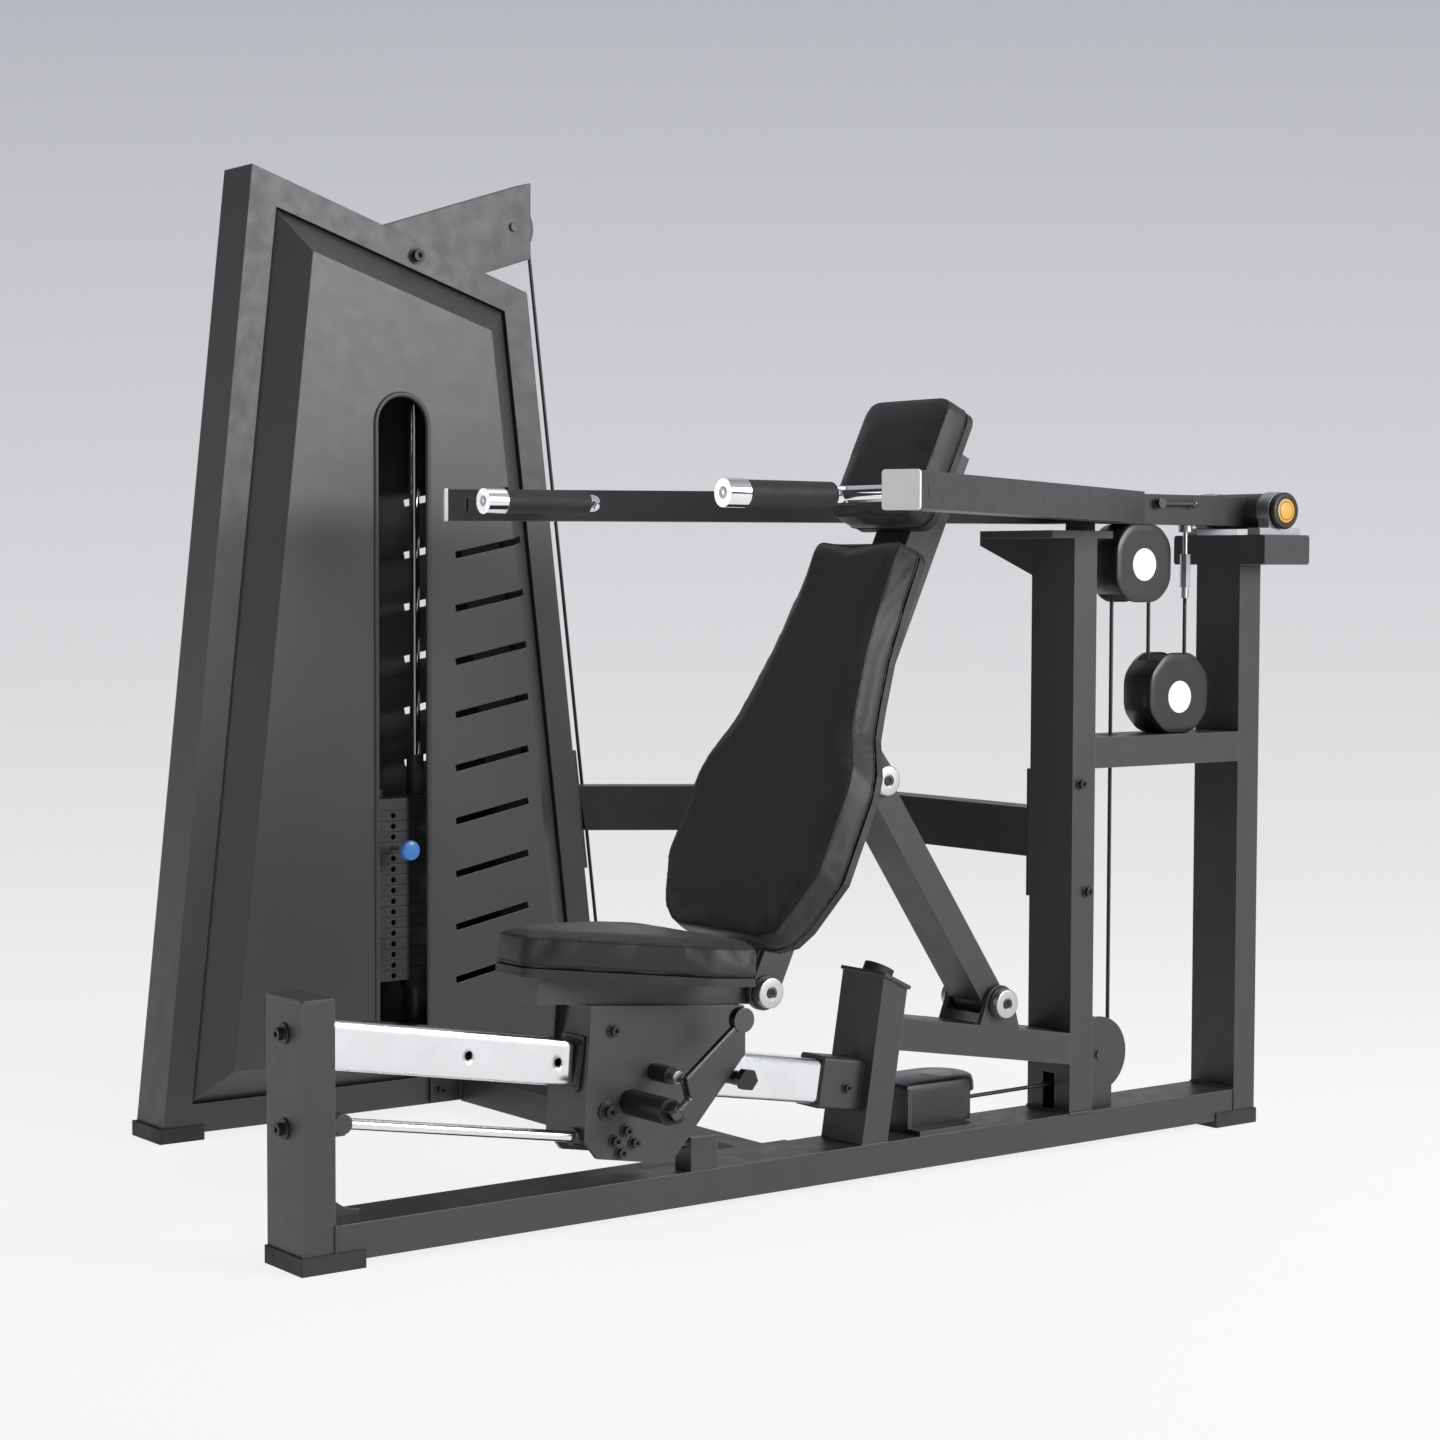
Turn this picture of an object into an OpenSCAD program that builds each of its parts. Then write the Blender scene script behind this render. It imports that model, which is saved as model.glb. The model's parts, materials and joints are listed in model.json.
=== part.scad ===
// Adjustable selectorised multi-press with a side weight tower.
// X runs from the front post to the rear upright, +Y towards the weight tower, +Z up.
// The origin is on the floor, under the middle of the front post's front face.

/* [Frame] */
// Length of the floor beam
beam_len = 1840; // [1800:5:1880]
// Wide side of the frame tube
tube_w = 100; // [96:1:104]
// Narrow side of the frame tube
tube_t = 50; // [48:1:52]
// Wall of every frame tube
wall = 3; // [2:0.5:5]
// Thickness of the rubber under the frame
foot_h = 12; // [8:1:14]
// Top of the front post
post_top = 366; // [355:1:380]
// Front face of the front upright
upright_x = 1404; // [1400:1:1408]
// Top of the front upright
upright_top = 998; // [990:1:1000]

/* [Seat rail] */
// Fall of the rail towards the rear, in degrees
rail_fall = 9.35; // [9:0.05:9.7]
// Depth of the rail section
rail_h = 68; // [62:1:70]
// Width of the rail section
rail_w = 50; // [46:1:52]
// Distance between two lock holes along the rail
lock_pitch = 151; // [148:1:152]

/* [Back rest] */
// Angle of the back pad from the floor at rest
back_angle = 65; // [64:0.5:66]
// Length of the back pad
back_len = 660; // [640:5:680]
// Greatest half width of the back pad
back_wide = 198; // [180:2:210]
// Half width of the back pad at its top
back_narrow = 108; // [95:1:120]
// Thickness of the upholstered pads
pad_t = 50; // [40:1:50]
// Thickness of the boards under the pads
board_t = 12; // [9:1:12]

/* [Press arm] */
// Height of the pivot axis and of the arm's centre line
pivot_z = 1048; // [1046:1:1052]
// Distance of the pivot axis from the front
pivot_x = 1850; // [1846:1:1854]
// Half spacing of the two hand grips
grip_y = 304; // [290:2:320]
// Side of the square arm tube
arm_t = 50; // [46:1:52]

/* [Tower] */
// Front face of the tower frame
tower_y = 868; // [860:2:880]
// Number of plates that the selector pin lifts
lift_count = 4; // [1:1:12]
// Height of one weight plate in the stack
plate_pitch = 18.5; // [17:0.1:18.5]

/* [Hidden] */
$fn = 48;
RUN = 0.05;             // radial clearance of a running fit
half_w = tube_w / 2;
half_t = tube_t / 2;
beam_top = foot_h + tube_t;
rear_x = beam_len - tube_t;
tower_mid_y = tower_y + half_w;
plate_count = 16;

// Side view of the tower's ring: outer and inner corners, anticlockwise from the front foot.
tower_out = [[238, 12], [1120, 12], [949, 1433], [411, 1612]];
tower_in = [[291, 60], [1067, 60], [903, 1398], [455, 1545]];

// X of the right post's outer face at height z.
function post_x(z) = tower_out[2].x + (tower_out[2].y - z) * (tower_out[1].x - tower_out[2].x)
    / (tower_out[2].y - tower_out[1].y);

// ---- shared helpers ----

// Extrudes a profile drawn in X and Z from y0 to y1.
module xz(y0, y1) {
    translate([0, y1, 0]) rotate([90, 0, 0]) linear_extrude(y1 - y0) children();
}

// A disc or pin whose axis runs along Y, from y0 to y1.
module pin_y(x, z, r, y0, y1) {
    translate([x, y1, z]) rotate([90, 0, 0]) cylinder(r = r, h = y1 - y0);
}

// A straight round bar between two points.
module bar(a, b, r) {
    d = b - a;
    len = norm(d);
    translate(a) rotate([0, acos(d.z / len), atan2(d.y, d.x)]) cylinder(r = r, h = len);
}

// A box given by its low and high corners.
module block(lo, hi) {
    translate(lo) cube(hi - lo);
}

// Its children, and their mirror image on the other side of the machine's middle plane.
module both_sides() {
    for (s = [0, 1]) mirror([0, s, 0]) children();
}

// A disc or pin whose axis runs along X, from x0 to x1.
module pin_x(y, z, r, x0, x1) {
    translate([x0, y, z]) rotate([0, 90, 0]) cylinder(r = r, h = x1 - x0);
}

// A rectangular tube open at both ends; axis is 0, 1 or 2 for X, Y or Z.
module tube(lo, hi, axis) {
    in_lo = [for (i = [0 : 2]) i == axis ? lo[i] - 1 : lo[i] + wall];
    in_hi = [for (i = [0 : 2]) i == axis ? hi[i] + 1 : hi[i] - wall];
    difference() {
        block(lo, hi);
        block(in_lo, in_hi);
    }
}

// A rectangle with round corners, centred on the origin.
module round_rect(w, h, r) {
    square([w - 2 * r, h], center = true);
    square([w, h - 2 * r], center = true);
    for (sx = [-1, 1], sy = [-1, 1]) translate([sx * (w / 2 - r), sy * (h / 2 - r)]) circle(r = r);
}

// The points of a polygon moved inwards by d; the points run anticlockwise.
function unit(v) = v / norm(v);
function left_of(v) = [-v.y, v.x];
function corner(a, b, c, d) = let (n0 = left_of(unit(b - a)), n1 = left_of(unit(c - b)))
    b + d * (n0 + n1) / (1 + n0 * n1);
function inset(p, d) = let (n = len(p))
    [for (i = [0 : n - 1]) corner(p[(i + n - 1) % n], p[i], p[(i + 1) % n], d)];

// A rectangle with cut corners.
module cut_rect(w, h, cut) {
    polygon([[cut - w / 2, -h / 2], [w / 2 - cut, -h / 2], [w / 2, cut - h / 2], [w / 2, h / 2 - cut],
             [w / 2 - cut, h / 2], [cut - w / 2, h / 2], [-w / 2, h / 2 - cut], [-w / 2, cut - h / 2]]);
}

// A socket head screw of head radius r that stands on the plane z = 0.
module socket_head(r) {
    difference() {
        cylinder(r = r, h = r * 1.1);
        translate([0, 0, r * 0.5]) cylinder(r = r * 0.5, h = r, $fn = 6);
    }
}

// A washer and a socket head on a face that points to -Y.
module screw_y(x, y, z, r) {
    pin_y(x, z, r * 1.4, y - 2, y);
    translate([x, y - 2, z]) rotate([90, 0, 0]) socket_head(r);
}

// ---- floor frame ----

module main_beam() {
    color("dimgray") tube([tube_t, -half_w, foot_h], [rear_x, half_w, beam_top], 0);
}

gusset = 62;            // legs of the gusset behind the front post
post_bolts = [192, 321];

module front_post() {
    color("dimgray") {
        difference() {
            block([0, -half_w, foot_h], [tube_t, half_w, post_top]);
            block([wall, wall - half_w, foot_h - 1], [tube_t - wall, half_w - wall, post_top + 1]);
        }
        xz(-4, 4) difference() {
            translate([tube_t, beam_top]) square(gusset);
            translate([tube_t + gusset, beam_top + gusset]) circle(r = gusset - 8);
        }
    }
}

// Cap with a plug that closes the front post.
module post_cap() {
    color("silver") {
        translate([half_t, 0, post_top]) linear_extrude(4) round_rect(tube_t + 2, tube_w + 2, 5);
        block([wall, wall - half_w, post_top - 20], [tube_t - wall, half_w - wall, post_top]);
    }
}

slot_y = 14;            // half width of the cable slot in the front upright
front_slot_h = 60;
rear_slot_h = 136;

module front_upright_tube() {
    mid = upright_x + half_t;
    color("dimgray") difference() {
        tube([upright_x, -half_w, beam_top], [upright_x + tube_t, half_w, upright_top], 2);
        block([upright_x - 1, -slot_y, beam_top + 2], [mid, slot_y, beam_top + 2 + front_slot_h]);
        block([mid, -slot_y, beam_top + 2], [mid + tube_t, slot_y, beam_top + 2 + rear_slot_h]);
    }
}

cross_tube_z = 957;
cross_tube_x = [rear_x, rear_x + 110];
cross_tube_y = 102;

module rear_upright_tube() {
    color("dimgray") tube([rear_x, -half_w, foot_h], [beam_len, half_w, cross_tube_z], 2);
}

cross_top = 674;

// Beam between the uprights, slotted where the cable passes down through it.
module cross_member() {
    x0 = upright_x + tube_t;
    cable_x = arm_pulley_c.x - groove_r;
    color("dimgray") difference() {
        tube([x0, -half_w, cross_top - tube_t], [rear_x, half_w, cross_top], 0);
        block([cable_x - 22, -slot_y, cross_top - tube_t - 1], [cable_x + 12, slot_y, cross_top + 1]);
    }
}

module pivot_cross_tube() {
    x0 = cross_tube_x[0];
    x1 = cross_tube_x[1];
    z1 = cross_tube_z + tube_t;
    color("dimgray") {
        tube([x0, -cross_tube_y, cross_tube_z], [x1, cross_tube_y, z1], 1);
        both_sides() xz(cross_tube_y, cross_tube_y + 3)
            translate([(x0 + x1) / 2, cross_tube_z + half_t]) round_rect(x1 - x0, tube_t, 6);
    }
}

rest_plate_top = upright_top + 12;
rest_plate_x = [1354, 1489];
rest_tip_y = 122;
rest_disc_x = 1464;

// Plate on the front upright that carries the arm's rest, with a gusset out to its far corner.
module arm_rest_bracket() {
    reach = [rest_plate_x[0] - upright_x, rest_tip_y - half_w];
    color("dimgray") {
        block([rest_plate_x[0], -half_w, upright_top], [rest_plate_x[1], rest_tip_y, rest_plate_top]);
        translate([upright_x, half_w, upright_top]) rotate([0, 0, atan2(reach.y, reach.x)])
            xz(-8, 0) polygon([[-4, 0], [-4, -60], [0, -60], [norm(reach), -12], [norm(reach), 0]]);
    }
}

// ---- seat rail ----

rail_z0 = 312.1;        // height of the rail's centre line at X = 0
rail_end = 993.8;       // length of the rail's centre line from X = 0
lock_u = 580.7;         // third lock hole, measured along the rail
stop_u = 739;
rod_y = -28.5;
rod_w = -103.5;         // lower rod under the rail, square to the rail
rod_r = 8;
rod_u = [82, 722];

// Frame with X down the rail and Z square to it, u along the rail's centre line.
module on_rail(u) {
    translate([0, 0, rail_z0]) rotate([0, rail_fall, 0]) translate([u, 0, 0]) children();
}

// A rectangular bar or opening along the rail.
module rail_prism(u0, u1, w, h, r) {
    on_rail(u0) rotate([90, 0, 90]) linear_extrude(u1 - u0) round_rect(w, h, r);
}

module slide_rail() {
    color("gainsboro") difference() {
        rail_prism(30, rail_end, rail_w, rail_h, 8);
        rail_prism(20, rail_end + 1, rail_w - 2 * wall, rail_h - 2 * wall, 5);
        block([-20, -half_w, 200], [tube_t, half_w, 400]);
        for (i = [0 : 2]) on_rail(lock_u - i * lock_pitch) pin_y(0, 0, 6.5, -rail_w, rail_w);
        on_rail(stop_u) pin_y(0, 0, 8, -rail_w, rail_w);
    }
}

// Bolt through the rail that ends the carriage's travel.
module rail_stop_bolt() {
    color("black") on_rail(stop_u) {
        pin_y(0, 0, 8, -61, 30);
        pin_y(0, 0, 12, -61, -25);
        translate([0, -61, 0]) rotate([90, 0, 0]) cylinder(r = 17, h = 13, $fn = 6);
        pin_y(0, 0, 13, rail_w / 2, 36);
    }
}

post_len = 262;         // front edge of the leaning rail post
bumper_tilt = 26;
post_drop = tube_t * tan(bumper_tilt - rail_fall);

// Frame with Z up the leaning rail post, origin under its front face.
module on_rail_post() {
    drop = (beam_top - rail_z0) / cos(rail_fall) + rail_end * rail_slope();
    on_rail(rail_end) translate([0, 0, drop]) children();
}
function rail_slope() = tan(rail_fall);

// Stub tube that carries the rail's rear end; its top slopes like the folded strut.
module rail_post_tube() {
    color("dimgray") difference() {
        on_rail_post() difference() {
            xz(-half_w, half_w)
                polygon([[0, -20], [tube_t, -20], [tube_t, post_len - post_drop], [0, post_len]]);
            block([wall, wall - half_w, -21], [tube_t - wall, half_w - wall, post_len + 1]);
        }
        block([800, -half_w - 1, 0], [1200, half_w + 1, beam_top]);
    }
}

// Frame on the slanted top of the rail post, Z square to it.
module on_post_top() {
    on_rail_post() translate([0, 0, post_len]) rotate([0, bumper_tilt - rail_fall, 0]) children();
}

module rail_post_cap() {
    len = tube_t / cos(bumper_tilt - rail_fall);
    color("dimgray") on_post_top() translate([len / 2, 0, 0]) linear_extrude(5)
        round_rect(len + 10, tube_w + 10, 6);
}

module rail_socket() {
    color("dimgray") difference() {
        rail_prism(rail_end - 78, rail_end, rail_w + 10, rail_h + 12, 6);
        rail_prism(rail_end - 79, rail_end + 1, rail_w, rail_h, 8);
    }
}

module lower_guide_rod() {
    color("gainsboro") on_rail(0) pin_x(rod_y, rod_w, rod_r, rod_u[0], rod_u[1]);
}

// Front lug and rear block that hold the lower rod.
module lower_rod_mounts() {
    lug_u = rod_u[0] + 4;
    block_x = [642, 690];
    color("dimgray") difference() {
        union() {
            on_rail(lug_u) pin_y(0, rod_w, 14, rod_y - 11, rod_y + 11);
            block([tube_t, rod_y - 8, 180], [tube_t + 22, rod_y + 8, 204]);
            block([block_x[0], -half_w + 1, beam_top], [block_x[1], rod_y + 20, 112]);
        }
        on_rail(0) pin_x(rod_y, rod_w, rod_r, rod_u[0], rod_u[1]);
    }
}

// ---- inclined beam and strut pivot ----

strut_pivot = [1250, 258];       // X and Z of the strut's lower pivot
incl_front = [1052, 251];
incl_slope = 0.161;
function incl_top(x) = incl_front.y - incl_slope * (x - incl_front.x);

module inclined_tube() {
    x0 = incl_front.x - 60;
    x1 = upright_x;
    h = tube_t * sqrt(1 + incl_slope * incl_slope);
    color("dimgray") difference() {
        xz(-half_w, half_w)
            polygon([[x0, incl_top(x0)], [x1, incl_top(x1)], [x1, incl_top(x1) - h], [x0, incl_top(x0) - h]]);
        xz(wall - half_w, half_w - wall)
            polygon([[x0 - 1, incl_top(x0 - 1) - wall], [x1 + 1, incl_top(x1 + 1) - wall],
                     [x1 + 1, incl_top(x1 + 1) + wall - h], [x0 - 1, incl_top(x0 - 1) + wall - h]]);
        on_rail_post() block([-100, -half_w - 1, -50], [tube_t, half_w + 1, post_len + 50]);
    }
}

lug_y = [41, 50];       // inner and outer face of every hinge lug
boss_y = 39;            // half width of the bosses between the lugs
hinge_r = 8;
lug_r = 28;

module strut_ears() {
    p = strut_pivot;
    color("dimgray") both_sides() difference() {
        union() {
            pin_y(p.x, p.y, lug_r, lug_y[0], lug_y[1]);
            xz(lug_y[0], lug_y[1]) polygon([[p.x - 42, incl_top(p.x - 42)], [p.x + 42, incl_top(p.x + 42)],
                                            [p.x + 26, p.y + 10], [p.x - 26, p.y + 10]]);
        }
        xz(0, half_w + 1) polygon([[p.x - 60, incl_top(p.x - 60)], [p.x + 60, incl_top(p.x + 60)],
                                   [p.x + 60, 150], [p.x - 60, 150]]);
        pin_y(p.x, p.y, hinge_r, 0, half_w + 1);
    }
}

// Round cap with a hex socket that covers a pivot pin on the +Y side.
module hinge_cap(x, z) {
    translate([x, lug_y[1], z]) rotate([-90, 0, 0]) difference() {
        union() {
            cylinder(r = 25, h = 5);
            cylinder(r = 23, h = 18);
        }
        translate([0, 0, 10]) cylinder(r = 8, h = 9, $fn = 6);
    }
}

module strut_pin() {
    color("silver") {
        pin_y(strut_pivot.x, strut_pivot.y, hinge_r, -lug_y[1], lug_y[1]);
        both_sides() hinge_cap(strut_pivot.x, strut_pivot.y);
    }
}

// ---- seat carriage ----

seat_hinge = [776, 316.3];      // X and Z of the back rest's hinge on the carriage
seat_tilt = 4.9;
seat_box = [394, 70, 40];
plate_y = [42, 50];

// Frame with its origin on the hinge and X down the seat support box.
module on_seat() {
    translate([seat_hinge.x, 0, seat_hinge.y]) rotate([0, seat_tilt, 0]) children();
}

module carriage_outline() {
    polygon([[452, 130], [475, 101], [585, 82], [609, 85], [740, 227], [740, 293.3], [464, 316.9]]);
}

lock_pivot = [531, 178];        // X and Z of the post that carries the lock lever
lock_angle = 37.4;              // rise of the lock lever
lock_pin_x = 573;
lock_pin_z = rail_z0 - rail_slope() * lock_pin_x;
post_y = -150;                  // end of the lever's post
lever_y = [-163, -119];         // lever at its pivot and at the lock pin
hub_y = -94;

module carriage() {
    color("dimgray") difference() {
        union() {
            for (y = [-plate_y[1], plate_y[0]]) xz(y, y + 8) carriage_outline();
            on_seat() block([-312, -50, -26], [-37, 50, -20]);
            intersection() {
                xz(-plate_y[0], plate_y[0]) carriage_outline();
                union() {
                    on_rail(470) block([0, -60, -150], [8, 60, 150]);
                    on_rail(652) block([0, -60, -80], [8, 60, 150]);
                }
            }
            pin_y(lock_pin_x, lock_pin_z, 13, hub_y, -plate_y[1]);
            pin_y(lock_pivot.x, lock_pivot.y, 19, post_y, -plate_y[1]);
            on_lever() for (z = [-12.5, 6.5]) {
                translate([0, lever_y[0], z]) cylinder(r = 8, h = 6);
                block([-8, lever_y[0], z], [8, post_y + 2, z + 6]);
            }
        }
        for (u = [460, 645]) rail_prism(u, u + 25, rail_w + 12, rail_h + 12, 8);
        on_rail(0) pin_x(rod_y, rod_w, 13, 460, 485);
        pin_y(lock_pin_x, lock_pin_z, 6 + RUN, hub_y - 1, -30);
        on_lever() translate([0, lever_y[0], 0]) cylinder(r = 3, h = 40, center = true);
    }
}

// Frame at the lever's pivot: X along the lever, Z along its hinge axis.
module on_lever() {
    translate([lock_pivot.x, 0, lock_pivot.y]) rotate([0, -lock_angle, 0]) children();
}

// Plastic sleeves that slide on the rail and on the lower rod.
module rail_bushes() {
    color("black") {
        for (u = [466, 648]) difference() {
            rail_prism(u, u + 16, rail_w + 12, rail_h + 12, 8);
            rail_prism(u - 1, u + 17, rail_w + 0.6, rail_h + 0.6, 8);
        }
        on_rail(0) difference() {
            pin_x(rod_y, rod_w, 13, 466, 482);
            pin_x(rod_y, rod_w, rod_r + RUN, 465, 483);
        }
    }
}

module side_bolts() {
    color("black") {
        for (p = [[501, 284], [524, 137], [504, 124], [538, 118], [514, 106]])
            screw_y(p.x, -plate_y[1], p.y, 7);
        pin_y(491, 169, 15, -53, -plate_y[1]);
        screw_y(491, -53, 169, 9);
    }
}

pin_tip_y = -26.2;
pin_head_y = [-111.5, -107.5];

module lock_pin() {
    color("gainsboro") {
        pin_y(lock_pin_x, lock_pin_z, 6, pin_head_y[0], pin_tip_y);
        pin_y(lock_pin_x, lock_pin_z, 9, pin_head_y[0], pin_head_y[1]);
    }
}

lever_len = 188;

module lock_lever() {
    near_pin = 58;
    bend = 28;
    color("gainsboro") on_lever() {
        difference() {
            union() {
                translate([0, lever_y[0], 0]) cylinder(r = 8, h = 12, center = true);
                bar([4, lever_y[0], 0], [bend, lever_y[0], 0], 5);
                translate([bend, lever_y[0], 0]) sphere(r = 6);
                bar([bend, lever_y[0], 0], [near_pin, lever_y[1], 0], 5);
                bar([near_pin, lever_y[1], 0], [lever_len, lever_y[1], 0], 5);
                translate([near_pin, lever_y[1], 0]) sphere(r = 6);
            }
            translate([0, lever_y[0], 0]) cylinder(r = 3 + RUN, h = 20, center = true);
        }
        translate([lever_len, lever_y[1] + 7, 0]) rotate([90, 0, 0]) cylinder(r = 18, h = 14);
    }
}

module lever_pin() {
    color("gray") on_lever() translate([0, lever_y[0], 0]) cylinder(r = 3, h = 25, center = true);
}

module seat_support() {
    w = seat_box.y / 2;
    h = seat_box.z / 2;
    color("dimgray") on_seat() difference() {
        union() {
            tube([-seat_box.x, -w, -h], [-10, w, h], 0);
            block([-seat_box.x, -w, -h], [-seat_box.x + 4, w, h]);
            pin_y(0, 0, 22, -boss_y, boss_y);
        }
        pin_y(0, 0, hinge_r + RUN, -60, 60);
    }
}

seat_half = 165;        // greatest half width of the seat pad

// Plan of the seat pad: narrow at the front, parallel at the rear.
module seat_solid(z0, h, trim) {
    on_seat() translate([0, 0, z0]) hull() for (s = [-1, 1]) {
        translate([-402, s * 27, 0]) cylinder(r = 26 - trim, h = h, $fn = 32);
        translate([-165, s * (seat_half - 60), 0]) cylinder(r = 60 - trim, h = h, $fn = 32);
        translate([-117, s * (seat_half - 30), 0]) cylinder(r = 30 - trim, h = h, $fn = 32);
    }
}

module seat_board() {
    color("black") seat_solid(seat_box.z / 2, board_t, 4);
}

module seat_pad() {
    color("black") seat_solid(seat_box.z / 2 + board_t, 48, 0);
}

// ---- back rest ----

back_tube = [80, 60];           // width and depth of the back rest's tube
back_tube_len = 900;
strut_top = [74.2, 373.3];      // strut's upper pivot in the back rest's frame
pad_low = 49;                   // lower end of the back pad above the hinge

// Frame with Z up the back rest, -X towards the user, origin on the hinge.
module on_back() {
    translate([seat_hinge.x, 0, seat_hinge.y]) rotate([0, 90 - back_angle, 0]) children();
}

module back_frame() {
    w = back_tube.x / 2 + 1;
    d = back_tube.y / 2;
    color("dimgray") on_back() {
        tube([-d, -w, 30], [d, w, back_tube_len], 2);
        block([-d, -w, back_tube_len - 4], [d, w, back_tube_len]);
        for (y = [-lug_y[1], lug_y[0]]) difference() {
            union() {
                pin_y(0, 0, lug_r, y, y + 9);
                block([-26, y, 0], [26, y + 9, 120]);
                pin_y(strut_top.x, strut_top.y, lug_r, y, y + 9);
                xz(y, y + 9) polygon([[-20, strut_top.y - 80], [strut_top.x + 8, strut_top.y - 27],
                                      [strut_top.x + 8, strut_top.y + 27], [-20, strut_top.y + 80]]);
            }
            pin_y(0, 0, hinge_r, -60, 60);
            pin_y(strut_top.x, strut_top.y, hinge_r, -60, 60);
        }
    }
}

// Hinge pin at the seat, and the two stub pins with caps at the strut's upper end.
module back_pins() {
    color("silver") on_back() {
        pin_y(0, 0, hinge_r, -lug_y[1], lug_y[1]);
        both_sides() {
            hinge_cap(0, 0);
            hinge_cap(strut_top.x, strut_top.y);
            pin_y(strut_top.x, strut_top.y, hinge_r, lug_y[0], lug_y[1]);
        }
    }
}

// Outline of the back pad: [share of its length, share from narrow to wide].
back_shape = [[0, -0.1], [0.02, 0.32], [0.06, 0.58], [0.18, 1], [0.38, 0.98], [0.44, 0.88],
              [0.53, 0.5], [0.6, 0.36], [0.72, 0.16], [0.86, 0.05], [0.98, 0], [1, -0.12]];
function back_x(k) = back_narrow + k * (back_wide - back_narrow);

// A slab of the back pad's outline, from x0 to x0 + t in front of the tube.
module back_slab(x0, t, trim) {
    right = [for (p = back_shape) [pad_low + trim + p.x * (back_len - 2 * trim), back_x(p.y) - trim]];
    left = [for (i = [len(right) - 1 : -1 : 0]) [right[i].x, -right[i].y]];
    on_back() translate([x0, 0, 0]) rotate([0, -90, 0]) mirror([0, 0, 1]) linear_extrude(t)
        polygon(concat(right, left));
}

head_gap = 31;
head_size = [205, 210];

module head_slab(x0, t, trim) {
    mid = pad_low + back_len + head_gap + head_size.y / 2;
    on_back() translate([x0, 0, mid]) rotate([0, 90, 0]) linear_extrude(t)
        round_rect(head_size.y - 2 * trim, head_size.x - 2 * trim, 26);
}

board_x = -back_tube.y / 2 - board_t;

module back_board() {
    color("black") back_slab(board_x, board_t, 5);
}

module back_pad() {
    color("black") back_slab(board_x - pad_t, pad_t, 0);
}

module head_board() {
    color("black") head_slab(board_x, board_t, 5);
}

module head_pad() {
    color("black") head_slab(board_x - pad_t, pad_t, 0);
}

strut_len = 441.8;
strut_rise = 124.3;             // direction of the strut from its lower pivot

// Folding strut between the back rest and the inclined beam.
module strut() {
    color("dimgray") translate([strut_pivot.x, 0, strut_pivot.y]) rotate([0, -strut_rise, 0]) difference() {
        union() {
            tube([18, -boss_y, -22.5], [strut_len - 16, boss_y, 22.5], 0);
            for (x = [0, strut_len]) pin_y(x, 0, 23, -boss_y, boss_y);
        }
        pin_y(0, 0, hinge_r + RUN, -60, 60);
        pin_y(strut_len, 0, hinge_r + RUN, -60, 60);
    }
}

// ---- press arm ----

arm_front = [600, 565];         // open end of the right arm in plan
arm_elbow = [1480, 95];
arm_run = arm_front - arm_elbow;
arm_len = norm(arm_run);
arm_dir = atan2(arm_run.y, arm_run.x);
arm_z = pivot_z - arm_t / 2;
sleeve_r = 30;
shaft_r = 15;
shaft_half = 88;

// Plan of the arm for one half width of its tube; over lengthens the open ends.
module arm_plan(h, over) {
    translate([arm_elbow.x - h, -arm_elbow.y]) square([2 * h, 2 * arm_elbow.y]);
    translate([arm_elbow.x, -h]) square([pivot_x - 20 - arm_elbow.x, 2 * h]);
    both_sides() translate(arm_elbow) {
        circle(r = h);
        rotate(arm_dir) translate([0, -h]) square([arm_len + over, 2 * h]);
    }
}

module arm_tubes() {
    color("dimgray") difference() {
        union() {
            translate([0, 0, arm_z]) linear_extrude(arm_t) arm_plan(arm_t / 2, 0);
            pin_y(pivot_x, pivot_z, sleeve_r, -55, 55);
        }
        translate([0, 0, arm_z + wall]) linear_extrude(arm_t - 2 * wall) difference() {
            arm_plan(arm_t / 2 - wall, 1);
            translate([pivot_x - sleeve_r, -40]) square(80);
        }
        pin_y(pivot_x, pivot_z, shaft_r, -60, 60);
        on_arm() translate([arm_len - 32, -arm_t, -11]) cube([3, 2 * arm_t, 22]);
    }
}

// Frame at the elbow of each arm, X towards its open end.
module on_arm() {
    both_sides() translate([arm_elbow.x, arm_elbow.y, pivot_z]) rotate([0, 0, arm_dir]) children();
}

module arm_end_caps() {
    plug = arm_t - 2 * wall;
    color("silver") on_arm() {
        translate([arm_len, 0, 0]) rotate([90, 0, 90]) linear_extrude(6) round_rect(arm_t + 3, arm_t + 3, 5);
        translate([arm_len - 22, -plug / 2, -plug / 2]) cube([22, plug, plug]);
    }
}

bar_r = 13;
bar_x = 715;
bend_r = 20;
grip_x = [540, 694];

// Chrome bars that reach inwards from the arms and turn forward.
module bent_bars() {
    color("gainsboro") difference() {
        both_sides() translate([0, 0, pivot_z]) {
            bar([grip_x[0] - 28, grip_y, 0], [bar_x - bend_r, grip_y, 0], bar_r);
            translate([bar_x - bend_r, grip_y + bend_r, 0]) rotate([0, 0, -90])
                rotate_extrude(angle = 90) translate([bend_r, 0]) circle(r = bar_r);
            bar([bar_x, grip_y + bend_r, 0], [bar_x, grip_y + 200, 0], bar_r);
        }
        translate([0, 0, arm_z]) linear_extrude(arm_t) arm_plan(arm_t / 2, 0);
        both_sides() block([600, 500, arm_z], [800, 560, arm_z + arm_t]);
    }
}

module hand_grips() {
    color("black") both_sides() difference() {
        pin_x(grip_y, pivot_z, 18.5, grip_x[0], grip_x[1]);
        pin_x(grip_y, pivot_z, bar_r, grip_x[0] - 1, grip_x[1] + 1);
    }
}

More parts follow.
